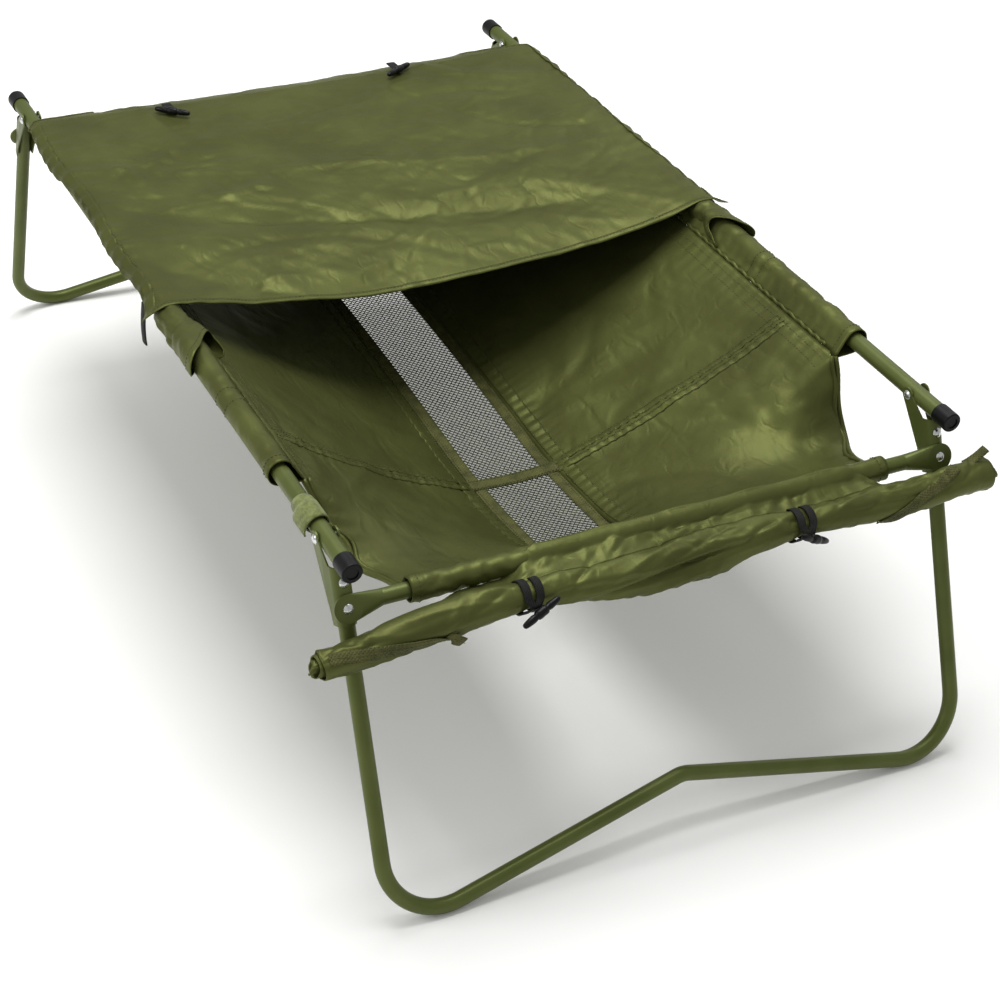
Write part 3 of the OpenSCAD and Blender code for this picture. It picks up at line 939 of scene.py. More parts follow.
def net_lines():
    """The zigzag threads of a diamond net, over the whole length of the strip."""
    pitch = setting_mm("net_pitch")
    half = STRIP_X - 3
    count = int(2 * half / pitch) + 1
    y = np.arange(-(BAR_Y - 10), BAR_Y - 10, pitch * 0.55)
    step = np.where(np.arange(len(y)) % 2 == 0, 0.0, pitch / 2)
    lines = []
    for k in range(count):
        x = -half + k * pitch
        lines.append(floor_points(np.clip(x + step, -half, half), y))
        lines.append(floor_points(np.clip(x - step, -half, half), y))
    return lines


def build_mesh_floor():
    """The net of the floor, with the two tapes along it and the two webbings across it."""
    values = {"Thickness": settings().net_thread, "Finish": finish_for("mesh_net")}
    net = baked(line_object("net_lines", net_lines()), thread_tree(), values, "mesh_net", "mesh_net")
    place(net, "root", "mesh_panel", **TUB_FOLD)
    rows = []
    y = np.linspace(-(BAR_Y - 9), BAR_Y - 9, 240)
    for side, word in SIDES:
        middle = floor_points(side * (STRIP_X - 5.0), y) + [0, 0, 1.3]
        piece, _ = band(f"mesh_tape_{word}_webbing", middle, 14.5, upward(len(y)), 1.1, "webbing", 5, 0.3)
        place(piece, "root", "mesh_tape_" + word, **TUB_FOLD)
        for x in (STRIP_X - 2.2, STRIP_X - 9.8):
            rows.append(floor_points(side * x, y) + [0, 0, 2.1])
    for end, word in ENDS:
        x = np.linspace(-STRIP_X - 4, STRIP_X + 4, 40)
        middle = floor_points(x, end * WEBBING_Y) + [0, 0, 2.6]
        piece, _ = band(f"cross_webbing_{word}_tape", middle, 18, upward(len(x)), 1.3, "webbing", 5, 0.3)
        place(piece, "root", "cross_webbing_" + word, **TUB_FOLD)
        for shift in (-6.5, 6.5):
            rows.append(middle + [0, shift, 1.1])
    place(stitches("mesh_stitches", rows, 1.0), "root", **TUB_FOLD)


# ---------------------------------------------------------------- sleeves


def drop_ring(turn, radius, reach):
    """Distance from the rail's centre at each turn from the seam: a circle drawn out to a seam."""
    away = np.abs((turn + np.pi) % (2 * np.pi) - np.pi)
    open_angle = np.arccos(radius / reach)
    return np.where(away < open_angle, radius / np.cos(open_angle - away), radius)


def round_rail(side, rr, angle, y):
    """Points at distances and angles round a rail's centre line."""
    x = RAIL_X + rr * np.cos(angle)[None]
    z = RAIL_Z + rr * np.sin(angle)[None]
    return np.stack([side * x, y, z], 2)


SLEEVE_SEAMS = {-1: [-239, -216], 1: [-190, -173]}  # the stitched rings round each sleeve, besides its hems
RAIL_SLEEVE_COLS = 48
CUFF_COLS = 44
BAR_SLEEVE_COLS = 40


def build_rail_sleeves():
    """The tunnels of cloth that the rails run through, each drawn out to the seam that joins its panel."""
    rows, cords = [], []
    turn = full_turn(RAIL_SLEEVE_COLS)
    y = np.linspace(-TUB_HALF - 5, TUB_HALF + 5, 190)
    yy = np.tile(y[:, None], (1, len(turn)))
    angle = np.pi + PANEL_FALL + turn
    around = turn[None] * SLEEVE_R * np.ones((len(y), 1))
    top = ease((np.sin(angle)[None] + 0.45) / 0.8)
    near_seam = np.exp(-(((turn + np.pi) % (2 * np.pi) - np.pi) ** 2) / 0.5)[None]
    for side, word in SIDES:
        rr = drop_ring(turn, SLEEVE_R, SEAM_REACH)[None] * np.ones((len(y), 1))
        seed = 41 if side > 0 else 53
        reach = ((0, 80), (-TUB_HALF, TUB_HALF))
        waves = soft_folds(around, yy, seed, 90, reach, 26, 7, 2.6, 20, 0.7)
        waves = waves + pucker(0 * yy, yy, 17, 1.5, 10, seed) * near_seam
        hem = 1.1 * ease((np.abs(yy) - (TUB_HALF - 12)) / 3)
        rr = rr + waves * np.clip(top + 0.6 * near_seam, 0, 1) + hem
        for ring_y in SLEEVE_SEAMS[side]:
            rr = rr - 0.5 * np.exp(-(((yy - ring_y) / 3.5) ** 2)) * top
        # the underside stays close to the rail, where the folded leg comes to lie
        below = np.abs((angle - 0.5 * np.pi) % (2 * np.pi) - np.pi)[None]
        rr = np.minimum(rr, 12.8 + 60 * below**2)
        grid = round_rail(side, rr, angle, yy)
        grid = grid if side < 0 else grid[:, ::-1]
        name = f"rail_sleeve_{word}"
        cloth_piece(name + "_cloth", grid, "stretched", ["rail_" + word], "root", name, wrap=True)
        # a cord of gathered cloth along the seam, where the panel joins the sleeve
        gathers = 1.6 + 1.0 * np.sin(y / 2.7 + np.sin(y / 17))
        line = np.stack([side * (SEAM[0] + 1.5 + 0 * y), y, SEAM[1] + gathers], 1)
        cords.append(tube_on("cord", line[6:-6], 2.3, "coated_cloth"))
        surface = Surface(grid, True)
        for ring_y in SLEEVE_SEAMS[side] + [-TUB_HALF + 6, TUB_HALF - 6]:
            row = np.interp(ring_y, y, np.arange(len(y)))
            rows.append(surface.ring(row, 60, RAIL_SLEEVE_COLS - 1, 0.8))
    place(joined("seam_cords", cords), "root")
    place(stitches("sleeve_stitches", rows), "root")


CUFF_START_Y = -38
CUFF_SHAPES = {-1: (-128, 34), 1: (-98, 20)}  # where each cuff ends, and how far its end slants


def build_cover_cuffs():
    """The far cover's side tunnels, which end in loose slanting cuffs on the rail sleeves."""
    rows = []
    turn = full_turn(CUFF_COLS)
    inner = np.exp(-((turn - 1.1 * np.pi) ** 2) / 0.16)
    low = np.exp(-((turn - 1.5 * np.pi) ** 2) / 0.9)[None]
    share = np.linspace(0, 1, 40)
    along = share[:, None]
    around = turn[None] * 15 * np.ones((len(share), 1))
    for side, word in SIDES:
        # the cuff ends further out on the rail's outer side, and droops on its inner side
        mean, slant = CUFF_SHAPES[side]
        end_y = mean - slant * np.cos(turn - 0.3) - 34 * inner
        yy = CUFF_START_Y + (end_y[None] - CUFF_START_Y) * along
        rr = 15.6 + 4.2 * ease(share)[:, None] + 2.2 * np.sin(3 * turn + 1.1 * side)[None] * along
        rr = rr + soft_folds(around, yy, 61 + side, 44, ((0, 95), (-150, -30)), 30, 7, 3.4, 70, 0.6)
        rr = rr + 0.9 * ease((along - 0.9) / 0.03)
        rr = rr + 9 * inner[None] * along
        rr = rr * (1 - low) + np.minimum(rr, 13.6) * low
        rr = np.maximum(rr, SLEEVE_R + 1.3)
        rr = np.where(np.sin(turn)[None] < -0.6, np.minimum(rr, 13.9), rr)
        grid = round_rail(side, rr, turn, yy)
        grid = (grid[::-1] if side > 0 else grid)[:, ::-1]
        name = f"cover_cuff_{word}"
        cloth_piece(name + "_cloth", grid, "gathered", ["rail_sleeve_" + word], "root", name, wrap=True)
        hem_row = 4 if side > 0 else len(share) - 5
        rows.append(Surface(grid, True).ring(hem_row, 60, CUFF_COLS - 1, 0.9))
    place(stitches("cuff_stitches", rows), "root")


def build_crossbar_sleeves():
    """The tunnels of cloth that the two crossbars run through."""
    turn = full_turn(BAR_SLEEVE_COLS)
    x = np.linspace(-BAR_HALF, BAR_HALF, 130)
    xx = np.tile(x[:, None], (1, len(turn)))
    around = turn[None] * 12 * np.ones((len(x), 1))
    reach = ((0, 75), (-BAR_HALF, BAR_HALF))
    for end, word in ENDS:
        body = word + "_leg"
        rr = 11.6 + soft_folds(around, xx, 71 + end, 110, reach, 22, 6, 2.6, 20, 0.7)
        inner = ease((BAR_HALF - 24 - np.abs(xx)) / 20)
        rr = rr + pucker(0 * xx, xx + 5 * np.sin(turn)[None], 19, 0.6, 10, 3) * inner
        rr = np.clip(rr, 9.6, 12.6) + 0.7 * ease((np.abs(xx) - (BAR_HALF - 13)) / 3)
        y = end * BAR_Y + rr * np.cos(turn)[None]
        z = BAR_Z + rr * np.sin(turn)[None]
        grid = np.stack([xx, y, z], 2)
        name = f"crossbar_sleeve_{word}"
        cloth_piece(name + "_cloth", grid, "stretched", ["crossbar_" + word], body, name, wrap=True)
        surface = Surface(grid, True)
        rows = []
        for hem_x in (-BAR_HALF + 9, BAR_HALF - 9):
            row = np.interp(hem_x, x, np.arange(len(x)))
            rows.append(surface.ring(row, 50, BAR_SLEEVE_COLS - 1, 0.9))
        place(stitches(f"crossbar_stitches_{word}", rows), body)


# ---------------------------------------------------------------- far cover

COVER_TOP = RAIL_Z + SLEEVE_R + 3.2
COVER_CORNER_Y = 424.0
COVER_HALF = 342.0
COVER_TIPS = {-1: 19, 1: 11}  # how far the two free corners stick out
SAG_HALF = RAIL_X - 10
SAG_LEAST = 7  # how far the cover lies below the rails where it is tight
HOLLOW_BACK = 128  # from the free edge to the hollow


def cover_half_width(y, side):
    """Half width of the cover: its free corners stick out in short points."""
    tip = COVER_TIPS[side] * np.exp(-((y - COVER_EDGE_Y) / 26))
    return COVER_HALF + tip + 2.5 * np.sin(y / 37 + side)


def cover_height(x, y):
    """Height of the cover's cloth: over the rails, sagging between them, and hanging past them."""
    inside = np.clip(np.abs(x) / SAG_HALF, 0, 1)
    knee = 104 - 34 * inside**2
    slope = np.clip((knee - y) / (knee - COVER_EDGE_Y), 0, 1)
    sag = SAG_LEAST + (setting_mm("cover_sag") - SAG_LEAST) * slope**1.25
    z = COVER_TOP - sag * (1 - inside**2.2)
    # the cloth lies in a hollow some way behind its free edge, with a crisp fold on the hollow's front side
    behind = y - (COVER_EDGE_Y + HOLLOW_BACK - 0.2 * x)
    reach = np.where(behind > 0, 52, 22)
    hollow = np.exp(-np.sqrt(behind**2 + 12) / reach) * np.exp(-(((x + 5) / 235) ** 4))
    z = z - setting_mm("cover_hollow") * hollow
    past = np.clip(np.abs(x) - (RAIL_X + 6), 0, None)
    lifted = np.exp(-((y - COVER_EDGE_Y) / 30))
    return z - (past**1.35) * (0.42 - 0.3 * lifted)


def cover_grid():
    """Middle points of the far cover: rows run from its free edge to the corner notches."""
    y = COVER_EDGE_Y + (COVER_CORNER_Y - COVER_EDGE_Y) * np.linspace(0, 1, 120)
    share = np.linspace(-1, 1, 170)
    yy = np.tile(y[:, None], (1, len(share)))
    half = np.where(share[None] < 0, cover_half_width(yy, -1), cover_half_width(yy, 1))
    xx = share[None] * half
    # the free edge bows back a little between its corners
    yy = yy + 9 * np.exp(-((yy - COVER_EDGE_Y) / 60)) * (1 - share[None] ** 2) ** 0.8
    zz = cover_height(xx, yy)
    reach = ((-330, 330), (COVER_EDGE_Y, COVER_CORNER_Y))
    lift = soft_folds(xx, yy, 83, 34, reach, 150, 16, 6.0, 8, 0.45)
    lift += soft_folds(xx, yy, 84, 220, reach, 60, 4.5, 2.4, 20, 0.9)
    lift += soft_folds(xx, yy, 85, 22, ((-330, -150), (60, 330)), 70, 10, 3.0, -25, 0.35)
    lift += soft_folds(xx, yy, 86, 22, ((150, 330), (60, 330)), 70, 10, 3.0, 25, 0.35)
    # gathers that run down over the rails
    edge = np.exp(-((np.abs(xx) - RAIL_X) ** 2) / 900)
    lift = lift * (1 - 0.6 * edge) + pucker(np.abs(xx) - RAIL_X - 14, yy, 27, 1.8, 16, 3)
    flat_rim = ease((yy - COVER_EDGE_Y) / 34)
    small_waves = 0.9 * np.sin(xx / 11.3 + np.sin(xx / 29)) * np.exp(-(yy - COVER_EDGE_Y) / 9)
    rim_waves = 1.8 * np.sin(xx / 46) + small_waves
    lift = lift * (0.45 + 0.55 * flat_rim) + rim_waves * (1 - flat_rim)
    over_rail = np.exp(-(((np.abs(xx) - RAIL_X) / 12) ** 2))
    lift = np.where(lift < 0, lift * (1 - over_rail), lift)
    return np.stack([xx, yy, zz + lift], 2)


TAIL_ROWS = 44


def tail_grid(front):
    """The cover's far end, which narrows between the corner notches and goes down to the crossbar."""
    t = np.linspace(0, 1, TAIL_ROWS)
    cols = front.shape[0]
    share = np.linspace(-1, 1, cols)
    narrow = BAR_HALF - 12
    half = narrow + (np.abs(front[0, 0]) - narrow) * (1 - ease(t / 0.42)) ** 1.4
    y = COVER_CORNER_Y + (BAR_Y - COVER_CORNER_Y) * t
    xx = half[:, None] * share[None]
    yy = np.tile(y[:, None], (1, cols))
    level = np.interp(xx.ravel(), front[:, 0], front[:, 2]).reshape(xx.shape)
    end = BAR_Z + 13.2
    drop = (0.35 * t + 0.65 * t**1.8)[:, None]
    zz = level + (end - level) * drop
    reach = ((-300, 300), (COVER_CORNER_Y, BAR_Y))
    lift = soft_folds(xx, yy, 91, 26, reach, 40, 9, 2.6, 80, 0.5) * ease(t / 0.15)[:, None]
    lift = lift + pucker(BAR_Y - yy, xx, 19, 1.6, 18, 5)
    lift = lift * ease((1 - t) / 0.1)[:, None]
    return np.stack([xx, yy, zz + lift], 2)


COVER = {}  # the finished far cover, for what lies on it


def build_far_cover():
    """The far cover with its tail down to the crossbar, its hems, and the bound edges of its notches."""
    grid = cover_grid()
    surface = COVER["main"] = Surface(grid)
    rails = ["rail_left", "rail_right"]
    cloth_piece("cover_far_cloth", grid, "draped", rails, "root", "cover_far", **COVER_FOLD)
    tail = tail_grid(grid[-1])
    end = shell("cover_far_end_cloth", tail, setting_mm("cloth"), "coated_cloth")
    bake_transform(end)
    # turned hems: a second layer along the free edge and the two sides
    rows_n, cols_n = grid.shape[:2]
    cols = np.linspace(0, cols_n - 1, 200)
    rows = np.linspace(0, rows_n - 1, 150)
    hems = []
    spacing = (COVER_CORNER_Y - COVER_EDGE_Y) / (rows_n - 1)

    def front_line(lift, depth=8.0):
        return surface.at(np.full_like(cols, depth / spacing), cols, lift)

    up = normals_under(front_line)
    hems.append(band("hem", front_line(0.3, 4.6), 8, up, 0.7, "coated_cloth", 4, 0.2)[0])
    for start in (0, cols_n - 1):
        inward = 1.6 if start == 0 else -1.6

        def side_line(lift, start=start, inward=inward):
            return surface.at(rows, np.full_like(rows, start + inward), lift)

        up = normals_under(side_line)
        hems.append(band("hem", side_line(0.3), 13, up, 0.7, "coated_cloth", 5, 0.25)[0])
    place(joined("cover_far_hems", hems), "root", **COVER_FOLD)
    lines = [front_line(0.95, 6.6)]
    for start, inward in ((0, 2.9), (cols_n - 1, -2.9)):
        lines.append(surface.at(rows, np.full_like(rows, start + inward), 1.05))
    place(stitches("cover_far_stitches", lines), "root", **COVER_FOLD)
    # the bound edges of the two corner notches
    edges = [tube_on("edge", tail[:, c] + [0, 0, 0.2], 1.8, "webbing") for c in (0, -1)]
    binding = joined("notch_binding", edges)
    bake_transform(binding)


# ---------------------------------------------------------------- near cover


TIE_LEFT_X = -158
TIE_RIGHT_X = 140
# Where each tie goes round the roll, its piece's side, and how its toggle slants, in degrees
TIES = ((TIE_LEFT_X, "left", -22), (TIE_RIGHT_X, "right", 30))
ROLL_R = 17.4  # the roll's outer turn
ROLL_CORE_R = 5.0
ROLL_FROM = ROLL_LOW[0] + 3
ROLL_TO = ROLL_HIGH[0] - 3
TURNS = 2.6
LOOSE_END = math.radians(118)  # where on the roll its outer turn leaves for the crossbar, up from the front
ROUND_ROLL = 107  # the length of the roll's outer turn


def roll_centre(x):
    """Height of the rolled cover's middle line: it droops at the left and hangs slack between its ties."""
    droop = 19 * ease((-x - 190) / 190) ** 1.2
    between_ties = (x > TIE_LEFT_X) & (x < TIE_RIGHT_X)
    slack = 3.0 * np.sin((x - TIE_LEFT_X) / (TIE_RIGHT_X - TIE_LEFT_X) * np.pi) * between_ties
    return ROLL_HIGH[2] - 17.5 - droop - slack + 2.5 * np.exp(-(((x - 330) / 60) ** 2))


def roll_waist(x):
    """How thick the roll is along its length: squeezed by its two ties, and thinner at its left end."""
    ties = 0.22 * np.exp(-(((x - TIE_LEFT_X) / 24) ** 2)) + 0.2 * np.exp(-(((x - TIE_RIGHT_X) / 24) ** 2))
    return 1 - ties - 0.12 * ease((-x - 250) / 110) + 0.05 * np.sin(x / 47 + 0.6)


def roll_slack(x):
    """Where the cloth has come loose and hangs under the roll: between the ties, and at the right."""
    return np.exp(-(((x + 20) / 85) ** 4)) + 0.35 * np.exp(-(((x - 255) / 60) ** 4))


def roll_twist(x):
    """How far the roll is wrung at each place along it, as an angle."""
    return 0.22 * np.sin(x / 71) + 0.10 * np.sin(x / 29 + 1)


def roll_grid():
    """Middle points of the rolled cover: rows lie along the roll, and columns wind out from its core."""
    x = np.linspace(ROLL_FROM, ROLL_TO, 230)
    turn = np.linspace(0, TURNS * 2 * np.pi, 170)
    share = turn / turn[-1]
    radius = ROLL_CORE_R + (ROLL_R - ROLL_CORE_R) * share**0.9
    angle = turn - turn[-1] + LOOSE_END
    xx = np.tile(x[:, None], (1, len(turn)))
    around = np.tile((angle % (2 * np.pi)) * 17, (len(x), 1))
    reach = ((0, ROUND_ROLL), (ROLL_LOW[0], ROLL_HIGH[0]))
    waves = soft_folds(around, xx, 101, 60, reach, 110, 5, 4.6, 80, 0.16)
    waves = waves + soft_folds(around, xx, 102, 130, reach, 34, 3.6, 2.2, 60, 0.5)
    seam_free = ease(np.minimum(around, ROUND_ROLL - around) / 14)
    stretch = 1 + np.clip(waves, -5, 4.5) * seam_free / 17
    rr = radius[None] * stretch * roll_waist(xx)
    a = angle[None] + roll_twist(xx)
    slack = roll_slack(xx)
    # the loose cloth hangs as a second, lower lobe, under a long groove in front
    low = np.clip(-np.sin(a - 0.25), 0, 1) ** 1.2
    rr = rr * (1 + 0.62 * slack * low)
    front = (a + np.pi) % (2 * np.pi) - np.pi
    rise = np.radians(-48 + 78 * ease((xx + 140) / 230))
    groove = np.exp(-np.abs((front - rise) / 0.26) ** 1.5)
    rr = rr * (1 - 0.42 * slack * groove)
    y = ROLL_Y - rr * np.cos(a) * 1.02
    z = roll_centre(xx) + rr * np.sin(a) * 0.97
    # the turns step in like a telescope at both ends, the inner ones standing out
    end = np.clip((np.abs(xx) - 325) / 46, 0, 1)
    xx = xx + end * np.sign(xx) * (4.0 - 13.0 * share + 1.8 * np.sin(turn * 1.3))[None]
    return np.stack([xx, y, z], 2)


BRIDGE_R = 15.0  # from the near crossbar's centre line to the cloth laid over its sleeve


def bridge_grid(roll):
    """The cloth that comes off the back of the roll and is sewn into the near crossbar sleeve's front."""
    outer = roll[:, -1]
    t = np.linspace(0, 1, 20)
    flare = ease((BAR_HALF - 4 - np.abs(outer[:, 0])) / 50)
    over = ease((outer[:, 0] + 176) / 46)
    bar = np.stack(
        [
            np.clip(outer[:, 0], -BAR_HALF + 12, BAR_HALF - 12),
            -BAR_Y - 10.5 + 11.5 * over,
            BAR_Z - 7 + (22.3 + 1.2 * np.sin(outer[:, 0] / 13)) * over,
        ],
        1,
    )
    far = bar * flare[:, None] + (outer + [0, 6, -9.5]) * (1 - flare[:, None])
    grid = spanned(outer, far, t)
    lift = soft_folds(grid[..., 0], grid[..., 1], 111, 110, ((-300, 300), (-560, -505)), 30, 5, 4.2, 60, 0.5)
    lift = np.maximum(lift, -1.5) * np.sin(np.pi * t)[None] ** 0.5
    grid[..., 2] += lift - 2.0 * np.sin(np.pi * t)[None]
    # where the cloth goes over the crossbar sleeve, it lies on it
    from_bar = grid[..., 1:] - [-BAR_Y, BAR_Z]
    away = np.linalg.norm(from_bar, axis=2)
    push = np.maximum((BRIDGE_R * over * flare)[:, None] / away, 1)
    grid[..., 1:] = [-BAR_Y, BAR_Z] + from_bar * push[..., None]
    return grid


def on_roll(roll, x, up):
    """A row and column of the roll's outer turn, at a place along it and an angle up from its front."""
    rows, cols = roll.shape[:2]
    row = (x - ROLL_FROM) / (ROLL_TO - ROLL_FROM) * (rows - 1)
    turn = TURNS * 2 * np.pi - LOOSE_END + up - roll_twist(x)
    return row, turn / (TURNS * 2 * np.pi) * (cols - 1)


# Each hem tape on the roll: where it starts and ends, its angles there, and how far its start stands off
ROLL_TAPES = ((-364, -232, 58, -42, 6), (228, 322, -58, 84, 0))


def build_rolled_cover():
    """The near cover rolled up, the cloth from it to the crossbar, and the hem tapes wound on it."""
    roll = roll_grid()
    cloth_piece("rolled_cover_cloth", roll, "folded", ["crossbar_near"], "near_leg", "rolled_cover")
    cloth_piece("cover_bridge_cloth", bridge_grid(roll), "hung", ["crossbar_near"], "near_leg")
    # the bound side edge of the cover winds along the roll, and its corner stands off as a point
    surface = Surface(roll)
    tapes, rows = [], []
    for x_from, x_to, up_from, up_to, tip in ROLL_TAPES:
        x = np.linspace(x_from, x_to, 70)
        up = np.radians(np.linspace(up_from, up_to, 70))
        row, col = on_roll(roll, x, up)
        off = 1.2 + tip * np.clip(np.linspace(-3.4, 1, 70), 0, 1) ** 1.5

        def tape(lift, row=row, col=col):
            return surface.at(row, col, lift)

        normal = normals_under(tape)
        centre = np.stack([0 * x, np.full_like(x, ROLL_Y), roll_centre(x)], 1)
        outward = np.sign(((tape(0.0) - centre)[:, 1:] * normal[:, 1:]).sum())
        normal = normal * outward
        middle = tape(0.0) + normal * off[:, None]
        tapes.append(band("tape", middle, 12, normal, 1.1, "webbing", 5, 0.3)[0])
        rows.append(middle + normal * 0.95)
    # the end of the tape stands up off the roll's right end
    steps = np.linspace(0, 1, 10)
    top = roll_centre(350.0) + 15
    tip = np.stack([338 + 24 * steps, np.full(10, ROLL_Y + 4.0), top + 13 * steps**1.5], 1)
    tapes.append(band("tape", tip, 11, np.tile([-0.4, 0.0, 0.92], (10, 1)), 1.1, "webbing", 4, 0.3)[0])
    place(joined("roll_hem_tapes", tapes), "near_leg")
    place(stitches("roll_stitches", rows), "near_leg")


def lathe(name, profile, slot, sides=20):
    """A turned piece about X: profile is a list of (x, radius) from one closed end to the other."""
    p = np.asarray(profile, float)
    turn = full_turn(sides)
    x = np.tile(p[:, :1], (1, sides))
    radius = p[:, 1:]
    rings = np.stack([x, radius * np.cos(turn)[None], radius * np.sin(turn)[None]], 2)
    points = rings.reshape(-1, 3).tolist() + [[p[0, 0], 0, 0], [p[-1, 0], 0, 0]]
    last = len(p) - 1
    tip = len(p) * sides
    quads, caps = [], []
    for c in range(sides):
        d = (c + 1) % sides
        for r in range(0, last * sides, sides):
            quads.append([r + d, r + sides + d, r + sides + c, r + c])
        caps += [[c, d, tip], [last * sides + d, last * sides + c, tip + 1]]
    return object_of(name, points, quads + caps, None, slot)


# Half of a toggle from its middle, as (distance, radius)
TOGGLE_PROFILE = [
    (0, 4.7),
    (3.2, 4.8),
    (5.6, 4.5),
    (6.4, 3.6),
    (7.0, 3.3),
    (10, 3.9),
    (15, 3.6),
    (19.5, 3.1),
    (21.6, 2.4),
    (22.4, 1.2),
]


def toggle(name, centre, turn):
    """A barrel toggle: tapered bars on both sides of a thick middle with a groove at each shoulder."""
    profile = [(-x, r) for x, r in TOGGLE_PROFILE[:0:-1]] + TOGGLE_PROFILE
    piece = lathe(name, profile, "toggle_plastic")
    piece.data.transform(Matrix.Translation(np.array(centre) * MM) @ turn)
    return piece


def turned(degrees, axis):
    """A rotation about one axis."""
    return Matrix.Rotation(math.radians(degrees), 4, axis)


def build_ties():
    """The doubled elastic loops round the rolled cover, each with its toggle."""
    loops = []
    lean = math.tan(math.radians(14)) * 0.4
    turn = full_turn(56)
    knot = np.exp(-((turn - np.pi) ** 2) / 0.08)  # where the loop is drawn together under its toggle
    for x, word, slant in TIES:
        middle = roll_centre(x)
        for side in (-1, 1):
            rr = 18.6 * roll_waist(x + side * 7.0) + 1.2
            y = ROLL_Y + (rr + 4.2 * knot) * np.cos(turn)
            z = middle + (rr + 0.6) * np.sin(turn) * 0.97
            edges = []
            for share in np.linspace(-1, 1, 4):
                off = side * 6.5 * (1 - 0.75 * knot) + share * 4.0
                edges.append(np.stack([x + off + lean * (z - 290), y, z], 1))
            loops.append(shell("loop", np.stack(edges, 0)[::-1], 1.3, "black_elastic", wrap=True))
        centre = (x + 3, ROLL_Y - 25.5, middle - 2)
        piece = toggle(f"toggle_near_{word}_barrel", centre, turned(slant, "Y") @ turned(12, "Z"))
        place(piece, "near_leg", "toggle_near_" + word)
    place(joined("elastic_loops_near_tape", loops), "near_leg", "elastic_loops_near")


# Each far toggle: where it lies on the cover, and its heading, in degrees
FAR_TOGGLES = ((-170, 396, -40, "left"), (139, 412, 30, "right"))


def build_far_toggles():
    """The far cover's own toggles lie loose on it, each on a short black tape."""
    tapes = []
    surface = COVER["main"]
    rows_n, cols_n = surface.grid.shape[:2]
    for x, y, heading, word in FAR_TOGGLES:
        row = (y - COVER_EDGE_Y) / (COVER_CORNER_Y - COVER_EDGE_Y) * (rows_n - 1)
        col = (x / 343 + 1) / 2 * (cols_n - 1)
        on = surface.at(np.array([row]), np.array([col]), 1.0)[0]
        piece = toggle(f"toggle_far_{word}_barrel", on + [0, 0, 5.2], turned(heading, "Z"))
        place(piece, "root", "toggle_far_" + word)
        steps = np.linspace(0, 1, 14)
        path = np.stack([on[0] + 2 * steps, on[1] - 3 + 34 * steps, on[2] + 6 - 5.2 * steps**0.7], 1)
        path[:, 2] = np.maximum(path[:, 2], surface.at(row + steps * 10, np.full(14, col), 1.4)[:, 2])
        tapes.append(band("tape", path, 11, upward(14), 1.2, "black_elastic", 4, 0.3)[0])
    place(joined("toggle_straps_far_tape", tapes), "root", "toggle_straps_far")


STRAP_Y = -432
STRAP_TURNS = 1.75


def build_strap_and_tab():
    """The hook and loop strap wrapped round the left rail, and the small tab at the left side."""
    turns = np.linspace(0, 2 * np.pi * STRAP_TURNS, 110)
    radius = 10.6 + 1.9 * turns / turns[-1] + 0.5 * np.sin(turns * 2.3)
    radius[-22:] += np.linspace(0, 1, 22) ** 1.6 * 3
    angle = turns + math.radians(-60)
    grid = []
    for share in np.linspace(-1, 1, 7):
        y = STRAP_Y + share * 14 + 5 * np.sin(turns * 0.5) - 4 * turns / turns[-1]
        grid.append(np.stack([-RAIL_X + radius * np.cos(angle), y, RAIL_Z + radius * np.sin(angle)], 1))
    piece = shell("hook_strap_tape", np.stack(grid, 1), 1.6, "strap_cloth")
    place(piece, "root", "hook_strap", **STRAP_FOLD)
    steps = np.linspace(0, 1, 16)
    path = np.stack([-RAIL_X - 16 - 3 * np.sin(steps * 2.2), -5 - 4 * steps, RAIL_Z - 2 - 46 * steps], 1)
    out = np.tile([-1.0, 0.0, 0.15], (16, 1))
    tab, _ = band("side_tab_tape", path, 12, out / np.linalg.norm(out[0]), 1.5, "black_elastic", 4, 0.4)
    place(tab, "root", "side_tab")


# ---------------------------------------------------------------- frame finishes and stage


def finish_frame():
    """Paints every frame piece that is still showing with its slot's finish."""
    slots = {part["node"]: part["material_slot"] for part in frame["record"]["subparts"]}
    for node, slot in slots.items():
        piece = frame["nodes"][node]
        if piece.hide_render:
            continue
        piece.data.materials.clear()
        piece.data.materials.append(finish_for(slot))


CAMERA_PLACE = (-0.94541, -1.98047, 1.53271)
CAMERA_TURN = {"azimuth": -0.485529, "elevation": 0.607642, "roll": 0.052848}
CAMERA_LENS = 79.61
FLOOR_SIZE = 14.0
LAMP_AIM = Vector((0, 0, 0.3))
LAMPS = (
    ("overhead softbox", (0.0, 0.35, 2.7), 1.7, 66),
    ("left softbox", (-2.9, 0.2, 1.9), 1.4, 34),
    ("right window", (2.2, 1.6, 2.2), 1.6, 10),
)  # name, place, width and power in watts


